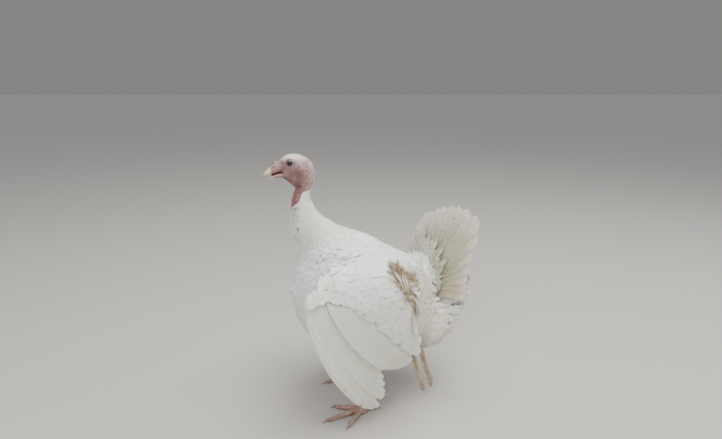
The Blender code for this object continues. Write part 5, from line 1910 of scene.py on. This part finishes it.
def make_plumes(body):
    """Downy plumes beside the root of the tail and under it."""
    P, n = spread(*body, 60000, 51)
    x, y, z = P.T
    n = unit(BODY(P)[1])
    ok = (y > 0.085) & (z > 0.165) & (z < 0.300) & (n[:, 1] > 0.05) \
        & (rump_zone(P) > 0.020) & (np.abs(x - UNDER_X) > 0.020)
    P, n = P[ok], n[ok]
    keep = thin_out(P, np.full(len(P), 0.0050), 52)
    P, n = P[keep], n[keep]
    N = len(P)
    rng = np.random.default_rng(53)
    s = np.sign(P[:, 0] - UNDER_X)
    lie = unit(0.62 * n + np.stack([0.25 * s, 0.72 + 0 * s,
                                    0.10 + 3.2 * (P[:, 2] - 0.235)], -1)
               + 0.20 * rng.normal(size=(N, 3)))
    flank = smooth(0.02, 0.07, P[:, 0]) * smooth(0.19, 0.15, P[:, 1])
    L = rng.uniform(0.028, 0.046, N) + 0.030 * flank
    reach = np.maximum(0.247 - P[:, 1], 0.02) / np.maximum(lie[:, 1], 0.2)
    L = np.minimum(L, reach)
    W = rng.uniform(0.0052, 0.0080, N) - 0.0014 * flank
    face = unit(n + 0.22 * rng.normal(size=(N, 3)))
    root = P - n * 0.003
    lie = unit(mix(lie - 0.45 * n, lie, flank))
    verts, uu, vv, fc = free_vanes(root, lie, face, L, W, rng,
                                   rng.uniform(0.0, 0.22, N))
    fc = unit(fc + n[:, None])
    tone = mix(WHITE * 0.97, CREAM * 0.94, rng.random(N) * 0.8) \
        * np.clip(1 + 0.05 * rng.normal(size=(N, 1)), 0.85, 1.04)
    tone = mix(tone, np.array([0.66, 0.60, 0.48]),
               0.45 * smooth(0.235, 0.185, P[:, 2]))
    tone = np.broadcast_to(tone[:, None], verts.shape).copy()
    got = coat("coat_plumes", verts, uu, vv, L, W,
               azimuthal(P, (0, 0.12, 0.25), (0, 1, 0.2)), tone, fc, soft=0.75)
    for ob in got:
        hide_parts("tail_coverts_under")
    print("coat_plumes", N)
    return got


def make_bristles(head):
    """Short hair-like feathers over crown, nape and cheeks."""
    P, n = spread(*head, 60000, 61)
    f, x, z = to_head(*P.T)
    want = np.clip(1.0 * smooth(-20, -44, f) * smooth(-62, -30, z)
                   + 0.65 * smooth(2, 14, z) * smooth(16, 0, f)
                   , 0, 1)
    eye = np.hypot(f - EYE_F, z - EYE_Z) < 11.5
    rng = np.random.default_rng(62)
    ok = (rng.random(len(P)) < want) & ~(eye & (np.abs(x) > 8)) & (z > -64) & (f < 14)
    P, n = P[ok], n[ok]
    keep = thin_out(P, np.full(len(P), 0.00165), 63)
    P, n = P[keep], n[keep]
    centre = np.stack(from_head(-14.0, 0.0, -8.0)).reshape(-1)[:3]
    n = n * np.where(np.sum(n * (P - centre), -1) >= 0, 1.0, -1.0)[:, None]
    N = len(P)
    f, x, z = to_head(*P.T)
    back = np.array([0.0, 1.0, -0.15]) + np.stack(
        [0 * f, 0 * f, -1.3 * smooth(-30, -48, f)], -1)
    back = back - np.sum(back * n, -1, keepdims=True) * n
    lie = unit(unit(back) + 0.30 * n + 0.12 * rng.normal(size=(N, 3)))
    L = rng.uniform(0.0022, 0.0042, N) * (1 + 0.6 * smooth(-36, -50, f))
    W = rng.uniform(0.00018, 0.00034, N)
    verts, uu, vv, fc = free_vanes(P - n * 0.0003, lie, n, L, W, rng,
                                   rng.uniform(0.05, 0.25, N), thick=0.00010)
    tone = mix(srgb(214, 194, 190), srgb(232, 224, 214), rng.random(N))
    tone = np.broadcast_to(tone[:, None], verts.shape).copy()
    got = coat("coat_bristles", verts, uu, vv, L, W,
               azimuthal(P, centre, (0, 1, 0.4)), tone, fc, soft=0.9)
    print("coat_bristles", N)
    return got


def make_upper_tail_coat():
    rng = np.random.default_rng(41)

    def place(q, dep):
        r = np.hypot(q[..., 0], q[..., 1])
        a = np.arctan2(q[..., 0], q[..., 1])
        th, v = rump_thickness(r, a)
        return tail_point(r, a, -0.0034 - th * 0.92 + dep)
    Rt, Ls, Ws, Dp, Dr = [], [], [], [], []
    k = 0
    r = 0.014
    while r < 0.086:
        a = np.radians(np.arange(-74, 80, math.degrees(0.0082 / max(r, 0.03))))
        a = a + 0.5 * (k % 2) * 0.0082 / max(r, 0.03)
        a = a + rng.normal(0, 0.03, len(a))
        side = 1 - np.clip(np.abs(np.degrees(a) - 2) / 78, 0, 1) ** 2.2
        ok = r < 0.030 + 0.052 * side
        a, side = a[ok], side[ok]
        q = np.stack([r * np.sin(a), r * np.cos(a)], -1)
        th, v = rump_thickness(np.full(len(a), r), a)
        Rt.append(q)
        g = np.stack([np.sin(a), np.cos(a)], -1)
        Dr.append(unit(g + rng.normal(0, 0.07, g.shape)))
        Ls.append((0.046 + 0.022 * v + 0.012 * side) * rng.uniform(0.8, 1.2, len(a)))
        Ws.append(0.0072 * rng.uniform(0.85, 1.15, len(a)))
        Dp.append(np.minimum(0.012, 0.45 * th))
        r += 0.0066
        k += 1
    Rt, Ls, Ws, Dp, Dr = (np.concatenate(v) for v in (Rt, Ls, Ws, Dp, Dr))
    N = len(Rt)
    verts, uu, vv, face = lay_on_sheet(place, Rt, Dr, Ls, Ws, rng, depth=Dp,
                                       lift=rng.uniform(0, 0.0025, N), rag=0.08)
    tone = plume_tone(verts)
    tone = mix(tone, mix(CREAM, STRAW, rng.random((N, 1))), 0.75)
    tone = tone * np.clip(0.72 + 0.06 * rng.normal(size=N), 0.58, 0.88)[:, None, None]
    got = coat("coat_tail_upper", verts, uu, vv, Ls, Ws, Rt, tone, face)
    for ob in got:
        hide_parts("tail_coverts_upper")
    print("coat_tail_upper", N)
    return got


# --------------------------------------------------------------- materials
def material(name, rough=0.6, spec=0.5, coat_=0.0, sheen=0.0, sub=0.0,
             sub_scale=0.003, detail=None):
    """Principled surface coloured by the tone layer, with fine relief."""
    m = bpy.data.materials.new(name)
    m.use_nodes = True
    nt = m.node_tree
    nt.nodes.clear()
    out = nt.nodes.new("ShaderNodeOutputMaterial")
    b = nt.nodes.new("ShaderNodeBsdfPrincipled")
    nt.links.new(b.outputs[0], out.inputs[0])
    b.inputs["Roughness"].default_value = rough
    b.inputs["Specular IOR Level"].default_value = spec
    b.inputs["Coat Weight"].default_value = coat_
    b.inputs["Coat Roughness"].default_value = 0.04
    b.inputs["Sheen Weight"].default_value = sheen
    b.inputs["Sheen Roughness"].default_value = 0.5
    b.inputs["Subsurface Weight"].default_value = sub
    b.inputs["Subsurface Scale"].default_value = sub_scale
    b.inputs["Subsurface Radius"].default_value = (1.0, 0.45, 0.30)
    tone = nt.nodes.new("ShaderNodeAttribute")
    tone.attribute_name = "tone"
    geo = nt.nodes.new("ShaderNodeTexCoord")
    noise = nt.nodes.new("ShaderNodeTexNoise")
    noise.inputs["Scale"].default_value = 160.0
    noise.inputs["Detail"].default_value = 4.0
    nt.links.new(geo.outputs["Object"], noise.inputs["Vector"])
    ramp = nt.nodes.new("ShaderNodeMapRange")
    ramp.inputs["To Min"].default_value = 0.93
    ramp.inputs["To Max"].default_value = 1.05
    nt.links.new(noise.outputs["Fac"], ramp.inputs["Value"])
    mul = nt.nodes.new("ShaderNodeVectorMath")
    mul.operation = "SCALE"
    nt.links.new(tone.outputs["Color"], mul.inputs[0])
    nt.links.new(ramp.outputs[0], mul.inputs["Scale"])
    colour_out = mul.outputs[0]
    bump = nt.nodes.new("ShaderNodeBump")
    if detail == "barbs":
        uv = nt.nodes.new("ShaderNodeUVMap")
        uv.uv_map = "vane"
        wave = nt.nodes.new("ShaderNodeTexWave")
        wave.wave_type = "BANDS"
        wave.bands_direction = "Y"
        wave.inputs["Scale"].default_value = 2.9
        wave.inputs["Distortion"].default_value = 1.6
        wave.inputs["Detail"].default_value = 2.0
        wave.inputs["Detail Scale"].default_value = 1.4
        nt.links.new(uv.outputs[0], wave.inputs["Vector"])
        r2 = nt.nodes.new("ShaderNodeMapRange")
        r2.inputs["To Min"].default_value = 0.965
        r2.inputs["To Max"].default_value = 1.01
        nt.links.new(wave.outputs["Fac"], r2.inputs["Value"])
        m2 = nt.nodes.new("ShaderNodeVectorMath")
        m2.operation = "SCALE"
        nt.links.new(colour_out, m2.inputs[0])
        nt.links.new(r2.outputs[0], m2.inputs["Scale"])
        colour_out = m2.outputs[0]
        bump.inputs["Strength"].default_value = 0.14
        bump.inputs["Distance"].default_value = 0.00035
        nt.links.new(wave.outputs["Fac"], bump.inputs["Height"])
    elif detail == "skin":
        vo = nt.nodes.new("ShaderNodeTexVoronoi")
        vo.inputs["Scale"].default_value = 900.0
        nt.links.new(geo.outputs["Object"], vo.inputs["Vector"])
        n2 = nt.nodes.new("ShaderNodeTexNoise")
        n2.inputs["Scale"].default_value = 420.0
        n2.inputs["Detail"].default_value = 5.0
        nt.links.new(geo.outputs["Object"], n2.inputs["Vector"])
        add = nt.nodes.new("ShaderNodeMath")
        add.operation = "ADD"
        nt.links.new(vo.outputs["Distance"], add.inputs[0])
        nt.links.new(n2.outputs["Fac"], add.inputs[1])
        bump.inputs["Strength"].default_value = 0.30
        bump.inputs["Distance"].default_value = 0.0004
        nt.links.new(add.outputs[0], bump.inputs["Height"])
    else:
        bump.inputs["Strength"].default_value = 0.15
        bump.inputs["Distance"].default_value = 0.0002
        nt.links.new(noise.outputs["Fac"], bump.inputs["Height"])
    nt.links.new(colour_out, b.inputs["Base Color"])
    if detail != "none":
        nt.links.new(bump.outputs[0], b.inputs["Normal"])
    return m


def give(ob, mat):
    ob.data.materials.clear()
    ob.data.materials.append(mat)


FEATHER = material("feather_white", rough=0.72, spec=0.25, sheen=0.12, sub=0.30,
                   sub_scale=0.006, detail="barbs")
SKIN = material("head_skin_pink", rough=0.50, spec=0.42, sub=0.12, detail="skin")
HORN = material("bill_horn_cream", rough=0.36, spec=0.5)
SCALE = material("leg_scale_pink", rough=0.52, spec=0.45)
CLAW = material("claw_horn", rough=0.42, spec=0.5)
EYE = material("eye_gloss", rough=0.06, spec=0.35, coat_=0.35, detail="none")

skin, body_mesh, head_mesh = make_skin()
give(skin, SKIN)
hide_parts("wing_left", "wing_right", "tail_coverts_under",
            "tail_coverts_upper")
PLUMAGE = Field(BAX, solid_field(False)[1])
for ob in make_body_coat(body_mesh, head_mesh, PLUMAGE):
    give(ob, FEATHER)
for side in ("left", "right"):
    for ob in make_wing_coat(side, PLUMAGE):
        give(ob, FEATHER)
    for ob in make_wing_feathers(side):
        give(ob, FEATHER)
    give(make_eye(side), EYE)
    leg, claw = make_leg(side)
    give(leg, SCALE)
    give(claw, CLAW)
for ob in make_upper_tail_coat():
    give(ob, FEATHER)
for ob in make_plumes(body_mesh) + make_bristles(head_mesh):
    give(ob, FEATHER)
give(make_tail_feathers(), FEATHER)
for ob in make_loose():
    give(ob, FEATHER)
give(bill_piece("bill_horn_upper", "bill_upper", BILL_UPPER, True), HORN)
give(bill_piece("bill_horn_lower", "bill_lower", BILL_LOWER, False), HORN)

# -------------------------------------------------------- stage and camera
me = bpy.data.meshes.new("floor")
S = 150.0
me.from_pydata([(-S, -S, 0), (S, -S, 0), (S, S, 0), (-S, S, 0)], [], [(0, 1, 2, 3)])
floor = bpy.data.objects.new("floor", me)
bpy.context.scene.collection.objects.link(floor)
fm = bpy.data.materials.new("floor_paper")
fm.use_nodes = True
fb = fm.node_tree.nodes["Principled BSDF"]
fb.inputs["Base Color"].default_value = (0.44, 0.425, 0.40, 1)
fb.inputs["Roughness"].default_value = 0.85
me.materials.append(fm)

world = bpy.data.worlds.new("studio")
bpy.context.scene.world = world
world.use_nodes = True
bg = world.node_tree.nodes["Background"]
bg.inputs[0].default_value = (0.80, 0.81, 0.83, 1)
bg.inputs[1].default_value = 0.70
# the camera sees a paper backdrop of the floor's own shade beyond the floor
wt = world.node_tree
sweep = wt.nodes.new("ShaderNodeBackground")
sweep.inputs[0].default_value = (0.44 * 0.80, 0.425 * 0.81, 0.40 * 0.83, 1)
sweep.inputs[1].default_value = 0.70
seen = wt.nodes.new("ShaderNodeLightPath")
both = wt.nodes.new("ShaderNodeMixShader")
wt.links.new(seen.outputs["Is Camera Ray"], both.inputs[0])
wt.links.new(bg.outputs[0], both.inputs[1])
wt.links.new(sweep.outputs[0], both.inputs[2])
wt.links.new(both.outputs[0], wt.nodes["World Output"].inputs[0])


def lamp(name, at, size, watts, tint, to=(0.0, 0.0, 0.30)):
    data = bpy.data.lights.new(name, "AREA")
    data.shape, data.size, data.energy, data.color = "SQUARE", size, watts, tint
    ob = bpy.data.objects.new(name, data)
    ob.location = Vector(at)
    ob.rotation_euler = (Vector(to) - Vector(at)).to_track_quat("-Z", "Y").to_euler()
    bpy.context.scene.collection.objects.link(ob)
    return ob


lamp("overhead", (0.5, 0.3, 3.0), 2.2, 132, (1.0, 0.98, 0.945))
lamp("key", (2.2, -1.9, 2.0), 1.6, 62, (1.0, 0.97, 0.925))
lamp("fill", (1.2, 2.4, 1.4), 2.0, 20, (0.95, 0.97, 1.0))

cam = bpy.data.cameras.new("camera")
cam.lens, cam.sensor_width = 25.98, 36.0
cam.clip_start, cam.clip_end = 0.05, 60
eye_at = Vector((1.16 * math.sin(math.radians(65)) + SHIFT[0],
                 -1.16 * math.cos(math.radians(65)) + SHIFT[1], 0.74))
pitch = math.radians(14.16)
look = Vector((-math.sin(math.radians(65)) * math.cos(pitch),
               math.cos(math.radians(65)) * math.cos(pitch), -math.sin(pitch)))
camera = bpy.data.objects.new("camera", cam)
camera.location = eye_at
camera.rotation_euler = look.to_track_quat("-Z", "Y").to_euler()
bpy.context.scene.collection.objects.link(camera)
bpy.context.scene.camera = camera

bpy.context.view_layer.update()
total = sum(len(o.data.polygons) for o in bpy.data.objects if o.type == "MESH")
print("polygons", total)
